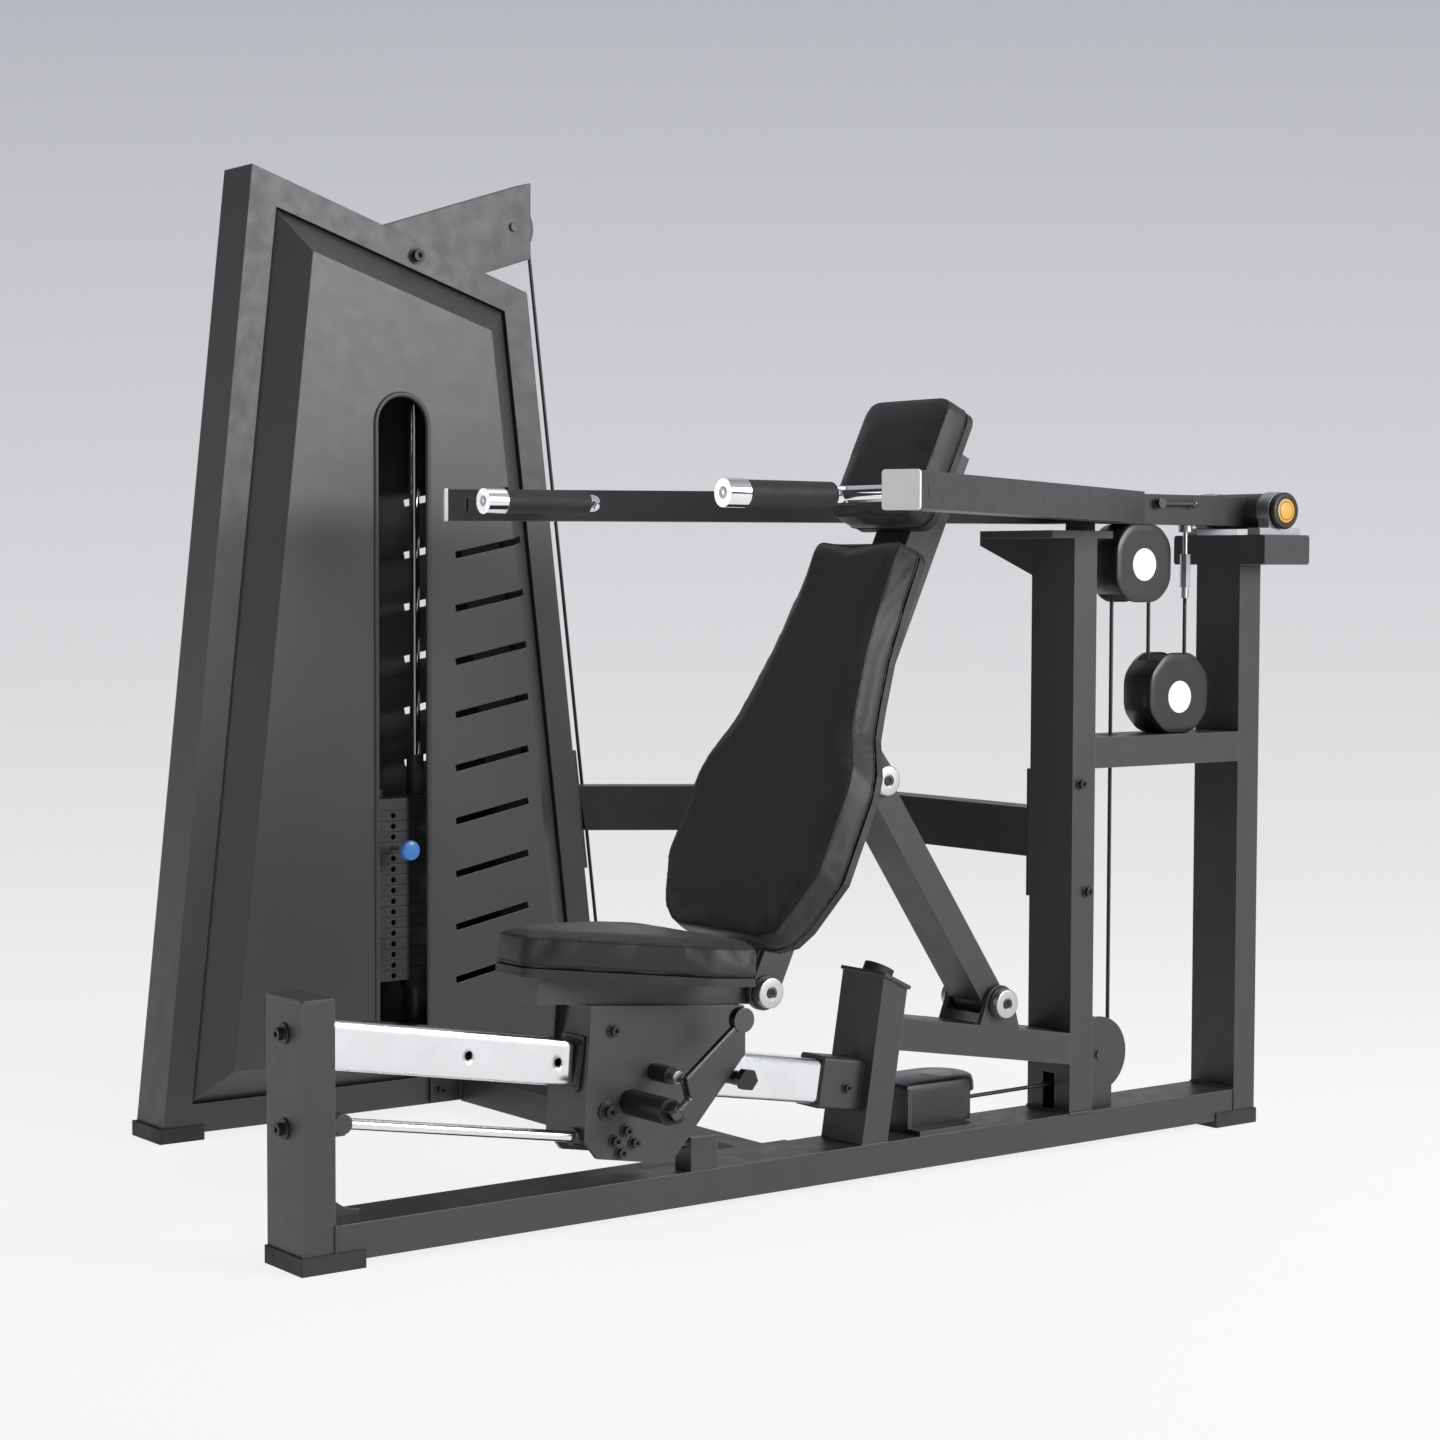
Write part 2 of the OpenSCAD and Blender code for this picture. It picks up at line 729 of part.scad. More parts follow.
module grip_caps() {
    color("gainsboro") both_sides() difference() {
        pin_x(grip_y, pivot_z, 20, grip_x[0] - 35, grip_x[0]);
        pin_x(grip_y, pivot_z, bar_r, grip_x[0] - 28, grip_x[0] + 1);
    }
}

bearing_y = [58, 86];

module pivot_bearings() {
    z0 = cross_tube_z + tube_t;
    y0 = bearing_y[0];
    y1 = bearing_y[1];
    color("silver") both_sides() difference() {
        union() {
            pin_y(pivot_x, pivot_z, 32, y0, y1);
            block([pivot_x - 52, y0, z0], [pivot_x + 46, y1, z0 + 12]);
            block([pivot_x - 28, y0 + 2, z0], [pivot_x + 28, y1 - 2, pivot_z]);
        }
        pin_y(pivot_x, pivot_z, shaft_r + RUN, y0 - 1, y1 + 1);
    }
}

module pivot_shaft() {
    color("gray") pin_y(pivot_x, pivot_z, shaft_r, -shaft_half, shaft_half);
}

// Black rings on the ends of the pivot shaft.
module pivot_rings() {
    color("black") both_sides() difference() {
        pin_y(pivot_x, pivot_z, 31, shaft_half, shaft_half + 10);
        pin_y(pivot_x, pivot_z, 20, shaft_half + 6, shaft_half + 11);
    }
}

module pivot_discs() {
    color("orange") both_sides() pin_y(pivot_x, pivot_z, 20, shaft_half + 6, shaft_half + 11);
}

arm_lever_x = 1615;

// Small lever that hangs on the near side of the arm's central beam.
module arm_lever() {
    y = -arm_t / 2;
    color("gainsboro") {
        pin_y(arm_lever_x, pivot_z + 10, 9, y - 14, y - 6);
        bar([arm_lever_x, y - 10, pivot_z + 10], [arm_lever_x + 78, y - 10, pivot_z + 10], 4);
        translate([arm_lever_x + 78, y - 10, pivot_z + 10]) sphere(r = 7);
    }
}

module arm_lever_stud() {
    y = -arm_t / 2;
    color("gray") pin_y(arm_lever_x, pivot_z + 10, 7, y - 5.8, y);
}

rest_gap = 0.3;

module arm_rest_disc() {
    color("black") translate([rest_disc_x, 0, rest_plate_top])
        cylinder(r = 24, h = arm_z - rest_gap - rest_plate_top);
}

// ---- pulleys and cable ----

rope_r = 3.2;
groove_r = 43;          // radius of the cable's centre line on a pulley
pulley_r = 50;
pulley_h = 12;          // half width of a pulley
axle_r = 8;

stack_xy = [672, tower_mid_y];
floor_rope_z = 102;
post_tilt = atan((tower_out[1].x - tower_out[2].x) / (tower_out[2].y - tower_out[1].y));
post_gap = 46;          // from the tower's right post to the cable beside it
foot_line_x = post_x(floor_rope_z) + post_gap;
upright_pulley = [1494, 148];
cross_pulley_c = [1666, 735];
arm_pulley_c = [1580, 956];
stack_pulley_c = [stack_xy.x + groove_r, 1452];
end_pulley_c = [937, 1550];

// A grooved pulley about Z.
module pulley_z() {
    rotate_extrude() polygon([[axle_r + RUN, -pulley_h], [pulley_r, -pulley_h], [pulley_r, 4 - pulley_h],
        [39.5, -3.6], [39.5, 3.6], [pulley_r, pulley_h - 4], [pulley_r, pulley_h], [axle_r + RUN, pulley_h]]);
}

// A pulley about Y in the plane y = y0.
module pulley_y(c, y0) {
    color("black") translate([c.x, y0, c.y]) rotate([90, 0, 0]) pulley_z();
}

module arm_pulley() {
    pulley_y(arm_pulley_c, 0);
}

module cross_pulley() {
    pulley_y(cross_pulley_c, 0);
}

module upright_foot_pulley() {
    pulley_y(upright_pulley, 0);
}

module stack_pulley() {
    pulley_y(stack_pulley_c, tower_mid_y);
}

module end_pulley() {
    pulley_y(end_pulley_c, tower_mid_y);
}

floor_c = [foot_line_x + groove_r, groove_r];

module floor_pulley() {
    color("black") translate([floor_c.x, floor_c.y, floor_rope_z]) pulley_z();
}

// Frame of the tower's foot pulley: origin where the cable meets it, Z along the leaning cable.
module on_tower_foot() {
    translate([foot_line_x, tower_mid_y - groove_r, floor_rope_z]) rotate([0, -post_tilt, 0]) children();
}

module tower_foot_pulley() {
    color("black") on_tower_foot() translate([0, 0, groove_r]) rotate([0, 90, 0]) pulley_z();
}

guard_y = [26, 32];
arm_guard = [127, 125];
cross_guard_w = 138;

// Two plates either side of the arm's pulley, with tabs up to the central beam.
module arm_pulley_guard() {
    c = arm_pulley_c;
    color("black") {
        for (y = [-guard_y[1], guard_y[0]]) {
            xz(y, y + 6) translate([c.x, c.y]) cut_rect(arm_guard.x, arm_guard.y, 22);
            block([c.x - 34, y, c.y], [c.x + 34, y + 6, arm_z + 20]);
        }
        both_sides() block([c.x - 34, arm_t / 2, arm_z + 4], [c.x + 34, guard_y[0], arm_z + 20]);
        pin_y(c.x, c.y, axle_r, -guard_y[1] - 4, guard_y[1] + 4);
    }
}

module cross_pulley_guard() {
    c = cross_pulley_c;
    color("black") {
        for (y = [-guard_y[1], guard_y[0]]) xz(y, y + 6) intersection() {
            translate([c.x, c.y + 5]) cut_rect(cross_guard_w, cross_guard_w, 24);
            translate([c.x - 100, cross_top]) square(200);
        }
        pin_y(c.x, c.y, axle_r, -guard_y[1] - 4, guard_y[1] + 4);
    }
}

// Round plates behind the front upright that hold the lowest frame pulley.
module upright_pulley_bracket() {
    c = upright_pulley;
    back = upright_x + tube_t;
    color("dimgray") {
        for (y = [-24, 18]) xz(y, y + 6) intersection() {
            union() {
                translate(c) circle(r = 62);
                translate([back, beam_top]) square([c.x - back + 30, c.y - beam_top]);
            }
            translate([back, beam_top]) square(200);
        }
        pin_y(c.x, c.y, axle_r, -28, 28);
    }
}

floor_cover_z = 130;

// Stepped bracket on the main beam that carries the horizontal pulley.
module floor_pulley_bracket() {
    spacer_top = floor_rope_z - pulley_h - 0.5;
    color("dimgray") {
        block([1084, -half_w, beam_top], [1204, half_w, beam_top + 8]);
        translate([floor_c.x, floor_c.y, beam_top]) cylinder(r = 40, h = 8);
        block([1084, -20, beam_top], [1092, 60, floor_cover_z]);
        translate([floor_c.x, floor_c.y, beam_top]) cylinder(r = 16, h = spacer_top - beam_top);
        translate([floor_c.x, floor_c.y, beam_top]) cylinder(r = axle_r, h = floor_cover_z - beam_top);
    }
}

module floor_pulley_cover() {
    color("black") translate([0, 0, floor_cover_z]) linear_extrude(8) {
        translate(floor_c) circle(r = 60);
        translate([1084, floor_c.y - 60]) square([floor_c.x - 1084, 77]);
    }
    color("black") block([1092, floor_c.y - 60, beam_top + 8], [floor_c.x, floor_c.y - 57, floor_cover_z]);
}

module tower_foot_bracket() {
    color("dimgray") on_tower_foot() {
        block([-post_gap * cos(post_tilt), -7, 0], [-24, 30, 90]);
        block([-24, -30, 0], [-18, 30, 90]);
        translate([-20, 0, groove_r]) rotate([0, 90, 0]) cylinder(r = axle_r, h = 38);
        translate([15, 0, groove_r]) rotate([0, 90, 0]) cylinder(r = 14, h = 5);
    }
}

// Threaded coupling that ends the cable under the arm.
turn_x = cross_pulley_c.x + groove_r;
turn_z = 900;

module turnbuckle() {
    color("gainsboro") translate([turn_x, 0, turn_z]) {
        cylinder(r = 6, h = 26);
        translate([0, 0, 18]) cylinder(r = 9, h = 56, $fn = 6);
        cylinder(r = 4, h = arm_z - turn_z);
        translate([0, 0, arm_z - turn_z - 12]) cylinder(r = 12, h = 12);
    }
}

stem_top = 637;

arc_gap = 0.2;          // angle left free at both ends of an arc of cable

// An arc of cable about Z, a hair short of the straight runs it meets.
module rope_arc(a0, a1) {
    rotate([0, 0, a0 + arc_gap]) rotate_extrude(angle = a1 - a0 - 2 * arc_gap)
        translate([groove_r, 0]) circle(r = rope_r);
}

// An arc of cable about Y in the plane y0; angles turn from +X towards +Z.
module rope_arc_y(c, y0, a0, a1) {
    translate([c.x, y0, c.y]) rotate([90, 0, 0]) rope_arc(a0, a1);
}

top_run = end_pulley_c - stack_pulley_c;
top_angle = atan2(top_run.y, top_run.x);

module cables() {
    up = [cos(top_angle + 90), sin(top_angle + 90)] * groove_r;
    lean = [cos(post_tilt), sin(post_tilt)] * groove_r;
    base_y = tower_mid_y - groove_r;
    left = arm_pulley_c.x - groove_r;
    right = arm_pulley_c.x + groove_r;
    color("black") {
        bar([stack_xy.x, stack_xy.y, stem_top + 0.3], [stack_xy.x, stack_xy.y, stack_pulley_c.y], rope_r);
        rope_arc_y(stack_pulley_c, tower_mid_y, top_angle + 90, 180);
        bar([stack_pulley_c.x + up.x, tower_mid_y, stack_pulley_c.y + up.y],
            [end_pulley_c.x + up.x, tower_mid_y, end_pulley_c.y + up.y], rope_r);
        rope_arc_y(end_pulley_c, tower_mid_y, post_tilt, top_angle + 90);
        bar([end_pulley_c.x + lean.x, tower_mid_y, end_pulley_c.y + lean.y],
            [foot_line_x - lean.y, tower_mid_y, floor_rope_z + lean.x], rope_r);
        on_tower_foot() translate([0, 0, groove_r]) rotate([0, 90, 0]) rope_arc(0, 90);
        bar([foot_line_x, base_y, floor_rope_z], [foot_line_x, groove_r, floor_rope_z], rope_r);
        translate([floor_c.x, floor_c.y, floor_rope_z]) rope_arc(180, 270);
        bar([floor_c.x, 0, floor_rope_z], [upright_pulley.x, 0, upright_pulley.y - groove_r], rope_r);
        rope_arc_y(upright_pulley, 0, -90, 0);
        bar([left, 0, upright_pulley.y], [left, 0, arm_pulley_c.y], rope_r);
        rope_arc_y(arm_pulley_c, 0, 0, 180);
        bar([right, 0, arm_pulley_c.y], [right, 0, cross_pulley_c.y], rope_r);
        rope_arc_y(cross_pulley_c, 0, -180, 0);
        bar([turn_x, 0, cross_pulley_c.y], [turn_x, 0, turn_z - 0.3], rope_r);
    }
}

// ---- joining beams ----

cross_beam_x = [805, 855];
flange_t = 8;
seam = 0.05;            // gap left where two sloping faces meet

module base_cross_tube() {
    y0 = half_w + flange_t;
    y1 = tower_y - flange_t;
    color("dimgray") tube([cross_beam_x[0], y0, foot_h], [cross_beam_x[1], y1, beam_top], 1);
}

tie_z = [475, 555];
tie_start = [1062, 900];
tie_bend = [1429, 655];

// Plan of the bent tie beam for one half width of its tube.
module tie_plan(h) {
    d0 = unit(tie_bend - tie_start);
    n0 = left_of(d0);
    n1 = [1, 0];
    mitre = h * (n0 + n1) / (1 + n0 * n1);
    start = tie_start - 40 * d0;
    polygon([start + h * n0, tie_bend + mitre, [tie_bend.x + h, half_w + flange_t],
             [tie_bend.x - h, half_w + flange_t], tie_bend - mitre, start - h * n0]);
}

// Everything on the tower's side of a plane against its right post.
module right_of_post(gap) {
    xz(tower_y - 60, tower_y + 160) polygon([[post_x(300) + gap - 300, 300], [post_x(300) + gap, 300],
                                            [post_x(700) + gap, 700], [post_x(700) + gap - 300, 700]]);
}

module tie_tube() {
    color("dimgray") difference() {
        translate([0, 0, tie_z[0]]) linear_extrude(tie_z[1] - tie_z[0]) tie_plan(half_t);
        translate([0, 0, tie_z[0] + wall]) linear_extrude(tie_z[1] - tie_z[0] - 2 * wall)
            tie_plan(half_t - wall);
        right_of_post(flange_t);
    }
}

// Plates that bolt the joining beams to the frame and to the tower.
module base_flanges() {
    color("dimgray") {
        block([760, half_w, foot_h + 2], [900, half_w + flange_t, beam_top]);
        block([745, tower_y - flange_t, foot_h + 2], [885, tower_y, 60]);
    }
}

module tie_flanges() {
    color("dimgray") {
        block([upright_x, half_w, 410], [upright_x + tube_t, half_w + flange_t, 620]);
        xz(tower_y + 2, tower_y + tube_w - 2)
            polygon([[post_x(406) + seam, 406], [post_x(406) + flange_t, 406],
                     [post_x(620) + flange_t, 620], [post_x(620) + seam, 620]]);
    }
}

module socket_bolts() {
    color("black") {
        for (z = post_bolts) translate([0, 0, z]) rotate([0, -90, 0]) {
            cylinder(r = 15, h = 3);
            translate([0, 0, 3]) socket_head(9);
        }
        for (p = [[upright_x + half_t, 430], [upright_x + half_t, 600], [778, 38], [882, 38]])
            translate([p.x, half_w + flange_t, p.y]) rotate([-90, 0, 0]) socket_head(8);
        for (x = [763, 867]) screw_y(x, tower_y - flange_t, 36, 8);
        for (p = [[1421, 600], [1437, 424]]) screw_y(p.x, -half_w, p.y, 7);
        screw_y(723, tower_y, 1482, 10);
        screw_y(950, -rail_w / 2 - 5, 151, 6);
    }
}

// ---- weight tower ----

box_x = [640, 973];
box_y = [893, 943];
box_rise = 18.1;
box_depth = 134;
function box_top(x) = 1630.3 + tan(box_rise) * (x - 974);

// Side view of the pulley box that crosses the tower's top; grow moves its sloping edges out.
module box_outline(grow) {
    x0 = box_x[0];
    x1 = box_x[1];
    low = -box_depth - grow;
    polygon([[x0, box_top(x0) + low], [x1, box_top(x1) + low],
             [x1, box_top(x1) + grow], [x0, box_top(x0) + grow]]);
}

module tower_frame() {
    color("dimgray") difference() {
        xz(tower_y, tower_y + tube_w) difference() {
            polygon(tower_out);
            polygon(tower_in);
        }
        xz(tower_y + wall, tower_y + tube_w - wall) difference() {
            polygon(inset(tower_out, wall));
            polygon(inset(tower_in, -wall));
        }
        xz(box_y[0], box_y[1]) box_outline(seam);
    }
}

// Side view of the space in the pulley box, running out of its bottom and rear.
module box_inside() {
    x0 = box_x[0] + wall;
    x1 = box_x[1] + 2;
    polygon([[x0, box_top(x0) - box_depth - 20], [x1, box_top(x1) - box_depth - 20],
             [x1, box_top(x1) - wall], [x0, box_top(x0) - wall]]);
}

// Box open at its bottom and rear that holds the two upper pulleys.
module top_beam() {
    color("dimgray") {
        difference() {
            xz(box_y[0], box_y[1]) box_outline(0);
            xz(box_y[0] + wall, box_y[1] - wall) box_inside();
        }
        pin_y(stack_pulley_c.x, stack_pulley_c.y, axle_r, box_y[0], box_y[1]);
        pin_y(end_pulley_c.x, end_pulley_c.y, axle_r, box_y[0] - 5, box_y[1] + 5);
    }
}

shroud_y = [878, 830];          // edge and face of the front shroud
face_out = [[351, 114], [1007, 114], [852, 1359], [503, 1472]];
sheet = 2;
window_x = [619, 721];
window_z = [150, 1191];
slot_z = [for (i = [0 : 9]) 1061.7 - 92.3 * i];
slot_x = [778, 930];
slot_rise = 11.3;

// A sheet metal tray: rim at y0, face at y1.
module tray(y0, y1) {
    s = y1 < y0 ? 1 : -1;
    difference() {
        hull() {
            xz(min(y0, y0 + 0.01), max(y0, y0 + 0.01)) polygon(tower_in);
            xz(min(y1, y1 + 0.01 * s), max(y1, y1 + 0.01 * s)) polygon(face_out);
        }
        hull() {
            xz(y0 + s * sheet - 0.01, y0 + s * sheet + 0.01) polygon(inset(tower_in, sheet));
            xz(y1 + s * sheet - 0.01, y1 + s * sheet + 0.01) polygon(inset(face_out, sheet));
        }
    }
}

module slots(y0, y1) {
    for (i = [0 : len(slot_z) - 1]) xz(y0, y1)
        translate([slot_x[0], slot_z[i]]) rotate(slot_rise) translate([0, -6])
            square([slot_x[1] - slot_x[0] - (i == 0 ? 40 : 0), 12]);
}

module window_outline() {
    translate([window_x[0], window_z[0]]) square([window_x[1] - window_x[0], window_z[1] - window_z[0]]);
    translate([(window_x[0] + window_x[1]) / 2, window_z[1]]) circle(r = (window_x[1] - window_x[0]) / 2);
}

module front_shroud() {
    color("gray") difference() {
        tray(shroud_y[0], shroud_y[1]);
        xz(shroud_y[1] - 5, shroud_y[1] + 10) window_outline();
        slots(shroud_y[1] - 5, shroud_y[0] + 5);
    }
}

module rear_shroud() {
    y0 = 2 * tower_mid_y - shroud_y[0];
    y1 = 2 * tower_mid_y - shroud_y[1];
    color("gray") difference() {
        tray(y0, y1);
        slots(y0 - 5, y1 + 5);
    }
}

rod_span = 76;
guide_r = 9;
rod_bar_z = [1375, 1385];
stack_z = 234;
rod_base = tower_in[0].y;
spacer_h = 154;

// Its children on the axis of each stack guide rod, at height z.
module at_rods(z) {
    for (s = [-1, 1]) translate([stack_xy.x + s * rod_span, stack_xy.y, z]) children();
}

// A ring about Z.
module sleeve(r0, r1, h) {
    difference() {
        cylinder(r = r1, h = h);
        translate([0, 0, -1]) cylinder(r = r0, h = h + 2);
    }
}

module stack_guide_rods() {
    color("gainsboro") at_rods(rod_base) cylinder(r = guide_r, h = rod_bar_z[1] + 8 - rod_base);
}

// Bar between the tower's posts that steadies the guide rods.
module upper_rod_bar() {
    edge = (tower_in[1].x - tower_in[2].x) / (tower_in[2].y - tower_in[1].y);
    left_edge = (tower_in[3].x - tower_in[0].x) / (tower_in[3].y - tower_in[0].y);
    z0 = rod_bar_z[0];
    z1 = rod_bar_z[1];
    lx = [for (z = [z0, z1]) tower_in[0].x + (z - tower_in[0].y) * left_edge];
    rx = [for (z = [z0, z1]) tower_in[1].x - (z - tower_in[1].y) * edge];
    color("dimgray") difference() {
        xz(box_y[0], box_y[1]) polygon([[lx[0], z0], [rx[0], z0], [rx[1], z1], [lx[1], z1]]);
        at_rods(z0 - 1) cylinder(r = guide_r, h = 20);
        translate([stack_xy.x, stack_xy.y, z0 - 1]) cylinder(r = 8, h = 20);
    }
}

module rod_spacers() {
    color("gray") at_rods(rod_base) sleeve(guide_r + 0.4, 20, spacer_h);
}

module stack_cushions() {
    z0 = rod_base + spacer_h;
    color("black") at_rods(z0) sleeve(guide_r + 0.4, 27, stack_z - z0);
}

plate_half = 125;
nose_w = 76;
nose_r = 12;
nose_y = 863;
plate_y0 = 890;
plate_y1 = 957;
stem_r = 12;

module plate_plan(cut) {
    difference() {
        union() {
            translate([stack_xy.x - plate_half + cut, plate_y0 + cut])
                square([2 * (plate_half - cut), plate_y1 - plate_y0 - 2 * cut]);
            translate([stack_xy.x, plate_y0])
                round_rect(nose_w - 2 * cut, 2 * (plate_y0 - nose_y - cut), nose_r - cut);
        }
        for (s = [-1, 1]) translate([stack_xy.x + s * rod_span, stack_xy.y]) circle(r = guide_r + 1);
        translate(stack_xy) circle(r = stem_r + 1);
    }
}

// Weight plates from index i0 up to i1, with the hole for the selector pin.
module plates(i0, i1) {
    for (i = [i0 : i1 - 1]) translate([0, 0, stack_z + i * plate_pitch]) difference() {
        union() {
            linear_extrude(plate_pitch - 0.1) plate_plan(3);
            translate([0, 0, 0.8]) linear_extrude(plate_pitch - 1.7) plate_plan(0);
        }
        pin_y(stack_xy.x, plate_pitch / 2, 5, nose_y - 5, stack_xy.y);
    }
}

module resting_plates() {
    color("dimgray") plates(0, plate_count - lift_count);
}

module lifted_plates() {
    color("dimgray") plates(plate_count - lift_count, plate_count);
}

stack_top = stack_z + plate_count * plate_pitch;
head_h = 20;

// Top plate with the stem that reaches down through the stack.
module head_plate_body() {
    color("dimgray") difference() {
        union() {
            translate([0, 0, stack_top]) linear_extrude(head_h) plate_plan(0);
            translate([stack_xy.x, stack_xy.y, 0]) {
                translate([0, 0, stack_z + 2]) cylinder(r = stem_r, h = stack_top - stack_z + 30);
                translate([0, 0, stack_top]) cylinder(r = stem_r + 2, h = head_h);
                translate([0, 0, stack_top + head_h]) cylinder(r = 4.5, h = stem_top - stack_top - head_h);
            }
        }
        for (i = [0 : plate_count - 1])
            pin_y(stack_xy.x, stack_z + (i + 0.5) * plate_pitch, 5, stack_xy.y - 20, stack_xy.y + 20);
    }
}

module head_sleeves() {
    color("black") at_rods(stack_top + head_h) sleeve(guide_r + 1, 15, 71);
}

pin_z = stack_z + (plate_count - lift_count + 0.5) * plate_pitch;

module selector_shank() {
    color("gainsboro") pin_y(stack_xy.x, pin_z, 4.4, 826, stack_xy.y + stem_r);
}

module selector_knob() {
    color("blue") difference() {
        union() {
            pin_y(stack_xy.x, pin_z, 17.5, 800, 822);
            pin_y(stack_xy.x, pin_z, 9, 822, 832);
        }
        pin_y(stack_xy.x, pin_z, 4.4, 826, 840);
    }
}

// ---- rubber ----

lip = 3;                // thickness of the rubber round a tube's end
cap_top = foot_h + 13;
cap_len = 95;

// Caps under both ends of the main beam and under the tower's feet.
module rubber_feet() {
    color("black") {
        difference() {
            union() {
                block([-lip, -half_w - lip, 0], [cap_len, half_w + lip, cap_top]);
                block([beam_len - cap_len, -half_w - lip, 0], [beam_len + lip, half_w + lip, cap_top]);
            }
            block([0, -half_w, foot_h], [beam_len, half_w, beam_top]);
        }
        for (x = [232, 1046]) difference() {
            block([x, tower_y - lip, 0], [x + 80, tower_y + tube_w + lip, cap_top]);
            xz(tower_y, tower_y + tube_w) polygon(tower_out);
        }
    }
}

module rubber_bumper() {
    color("black") on_post_top() translate([26, 0, 5]) cylinder(r = 24, h = 16);
}

// ---- sub-parts made of several welded or like pieces ----

module rail_post() {
    rail_post_tube();
    rail_post_cap();
    rail_socket();
}

module inclined_beam() {
    inclined_tube();
    strut_ears();
}

module base_cross_beam() {
    base_cross_tube();
    base_flanges();
}

module tie_beam() {
    tie_tube();
    tie_flanges();
}

module rear_upright() {
    rear_upright_tube();
    pivot_cross_tube();
}

module front_upright() {
    front_upright_tube();
    arm_rest_bracket();
}

module press_arm() {
    arm_tubes();
    arm_lever_stud();
}

module handle_bars() {
    bent_bars();
    grip_caps();
}

module head_plate() {
    head_plate_body();
    head_sleeves();
}

module selector_pin() {
    selector_shank();
    selector_knob();
}

module pivot_caps() {
    pivot_rings();
    pivot_discs();
}

module back_boards() {
    back_board();
    head_board();
}

module carriage_bolts() {
    side_bolts();
    lever_pin();
}

module frame_bolts() {
    socket_bolts();
    rail_stop_bolt();
}

module rubber_bumpers() {
    rubber_bumper();
    arm_rest_disc();
    stack_cushions();
}

module pulley_guards() {
    cross_pulley_guard();
    floor_pulley_cover();
}

module pulley_brackets() {
    upright_pulley_bracket();
    floor_pulley_bracket();
    tower_foot_bracket();
}

module rod_mounts() {
    lower_rod_mounts();
    upper_rod_bar();
    rod_spacers();
}

/* [Preview] */
// Sub-part to show, or all of them

main_beam();
front_post();
post_cap();
front_upright();
rear_upright();
cross_member();
slide_rail();
rail_post();
lower_guide_rod();
rod_mounts();
inclined_beam();
strut_pin();
base_cross_beam();
tie_beam();
pivot_bearings();
pulley_brackets();
pulley_guards();
frame_bolts();
rubber_feet();
rubber_bumpers();
cables();
tower_frame();
top_beam();
front_shroud();
rear_shroud();
stack_guide_rods();
resting_plates();
carriage();
rail_bushes();
carriage_bolts();
seat_support();
seat_board();
seat_pad();
lock_pin();
lock_lever();
back_frame();
back_pins();
back_boards();
back_pad();
head_pad();
strut();
press_arm();
arm_end_caps();
handle_bars();
hand_grips();
pivot_shaft();
pivot_caps();
arm_pulley_guard();
turnbuckle();
arm_lever();
arm_pulley();
cross_pulley();
upright_foot_pulley();
floor_pulley();
tower_foot_pulley();
end_pulley();
stack_pulley();
lifted_plates();
head_plate();
selector_pin();
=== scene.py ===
"""Looks of an adjustable multi-press with a side weight tower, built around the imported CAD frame."""
import json
import math
import bpy
import bmesh
from mathutils import Matrix, Vector
from mathutils.bvhtree import BVHTree


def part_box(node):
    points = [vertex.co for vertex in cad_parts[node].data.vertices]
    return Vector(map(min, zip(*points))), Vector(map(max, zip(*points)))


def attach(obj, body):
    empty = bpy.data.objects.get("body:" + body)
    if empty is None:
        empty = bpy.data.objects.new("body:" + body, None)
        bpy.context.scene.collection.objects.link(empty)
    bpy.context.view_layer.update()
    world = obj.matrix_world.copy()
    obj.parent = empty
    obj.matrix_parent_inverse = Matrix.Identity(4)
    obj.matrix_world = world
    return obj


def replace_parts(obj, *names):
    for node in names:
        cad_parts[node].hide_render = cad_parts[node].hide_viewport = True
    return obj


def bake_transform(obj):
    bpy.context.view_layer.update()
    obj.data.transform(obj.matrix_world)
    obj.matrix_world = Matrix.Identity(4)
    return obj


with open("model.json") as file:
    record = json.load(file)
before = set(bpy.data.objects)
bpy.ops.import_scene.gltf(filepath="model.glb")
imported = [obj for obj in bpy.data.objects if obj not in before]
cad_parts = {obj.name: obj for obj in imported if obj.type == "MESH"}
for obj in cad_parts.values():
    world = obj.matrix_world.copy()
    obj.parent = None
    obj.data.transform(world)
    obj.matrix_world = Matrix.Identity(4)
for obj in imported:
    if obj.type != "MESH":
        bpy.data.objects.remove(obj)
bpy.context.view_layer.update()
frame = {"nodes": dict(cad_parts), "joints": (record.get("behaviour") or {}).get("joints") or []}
nodes = frame["nodes"]
joints = {j["name"]: j for j in frame["joints"]}
MM = 0.001
X, Y, Z = Vector((1, 0, 0)), Vector((0, 1, 0)), Vector((0, 0, 1))


# ---- small helpers ----

def node_centre(name):
    low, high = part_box(name)
    return (low + high) / 2


def joint_point(name):
    return Vector(joints[name]["pos_m"])


def aim(origin, direction, roll_to=Y):
    """Matrix at origin whose Z points along direction."""
    z = Vector(direction).normalized()
    side = roll_to.cross(z)
    if side.length < 1e-4:
        side = X.cross(z)
    x = side.normalized()
    y = z.cross(x)
    m = Matrix((x, y, z)).transposed().to_4x4()
    m.translation = origin
    return m


def add_object(name, mesh, material, body, smooth=True):
    obj = bpy.data.objects.new(name, mesh)
    bpy.context.scene.collection.objects.link(obj)
    if material:
        mesh.materials.clear()
        mesh.materials.append(material)
    if smooth:
        mesh.shade_smooth()
    if body:
        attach(obj, body)
    return obj


def set_sharp(mesh, angle=math.radians(35)):
    mesh.shade_smooth()
    bm = bmesh.new()
    bm.from_mesh(mesh)
    for e in bm.edges:
        e.smooth = len(e.link_faces) == 2 and e.calc_face_angle(0) < angle
    bm.to_mesh(mesh)
    bm.free()


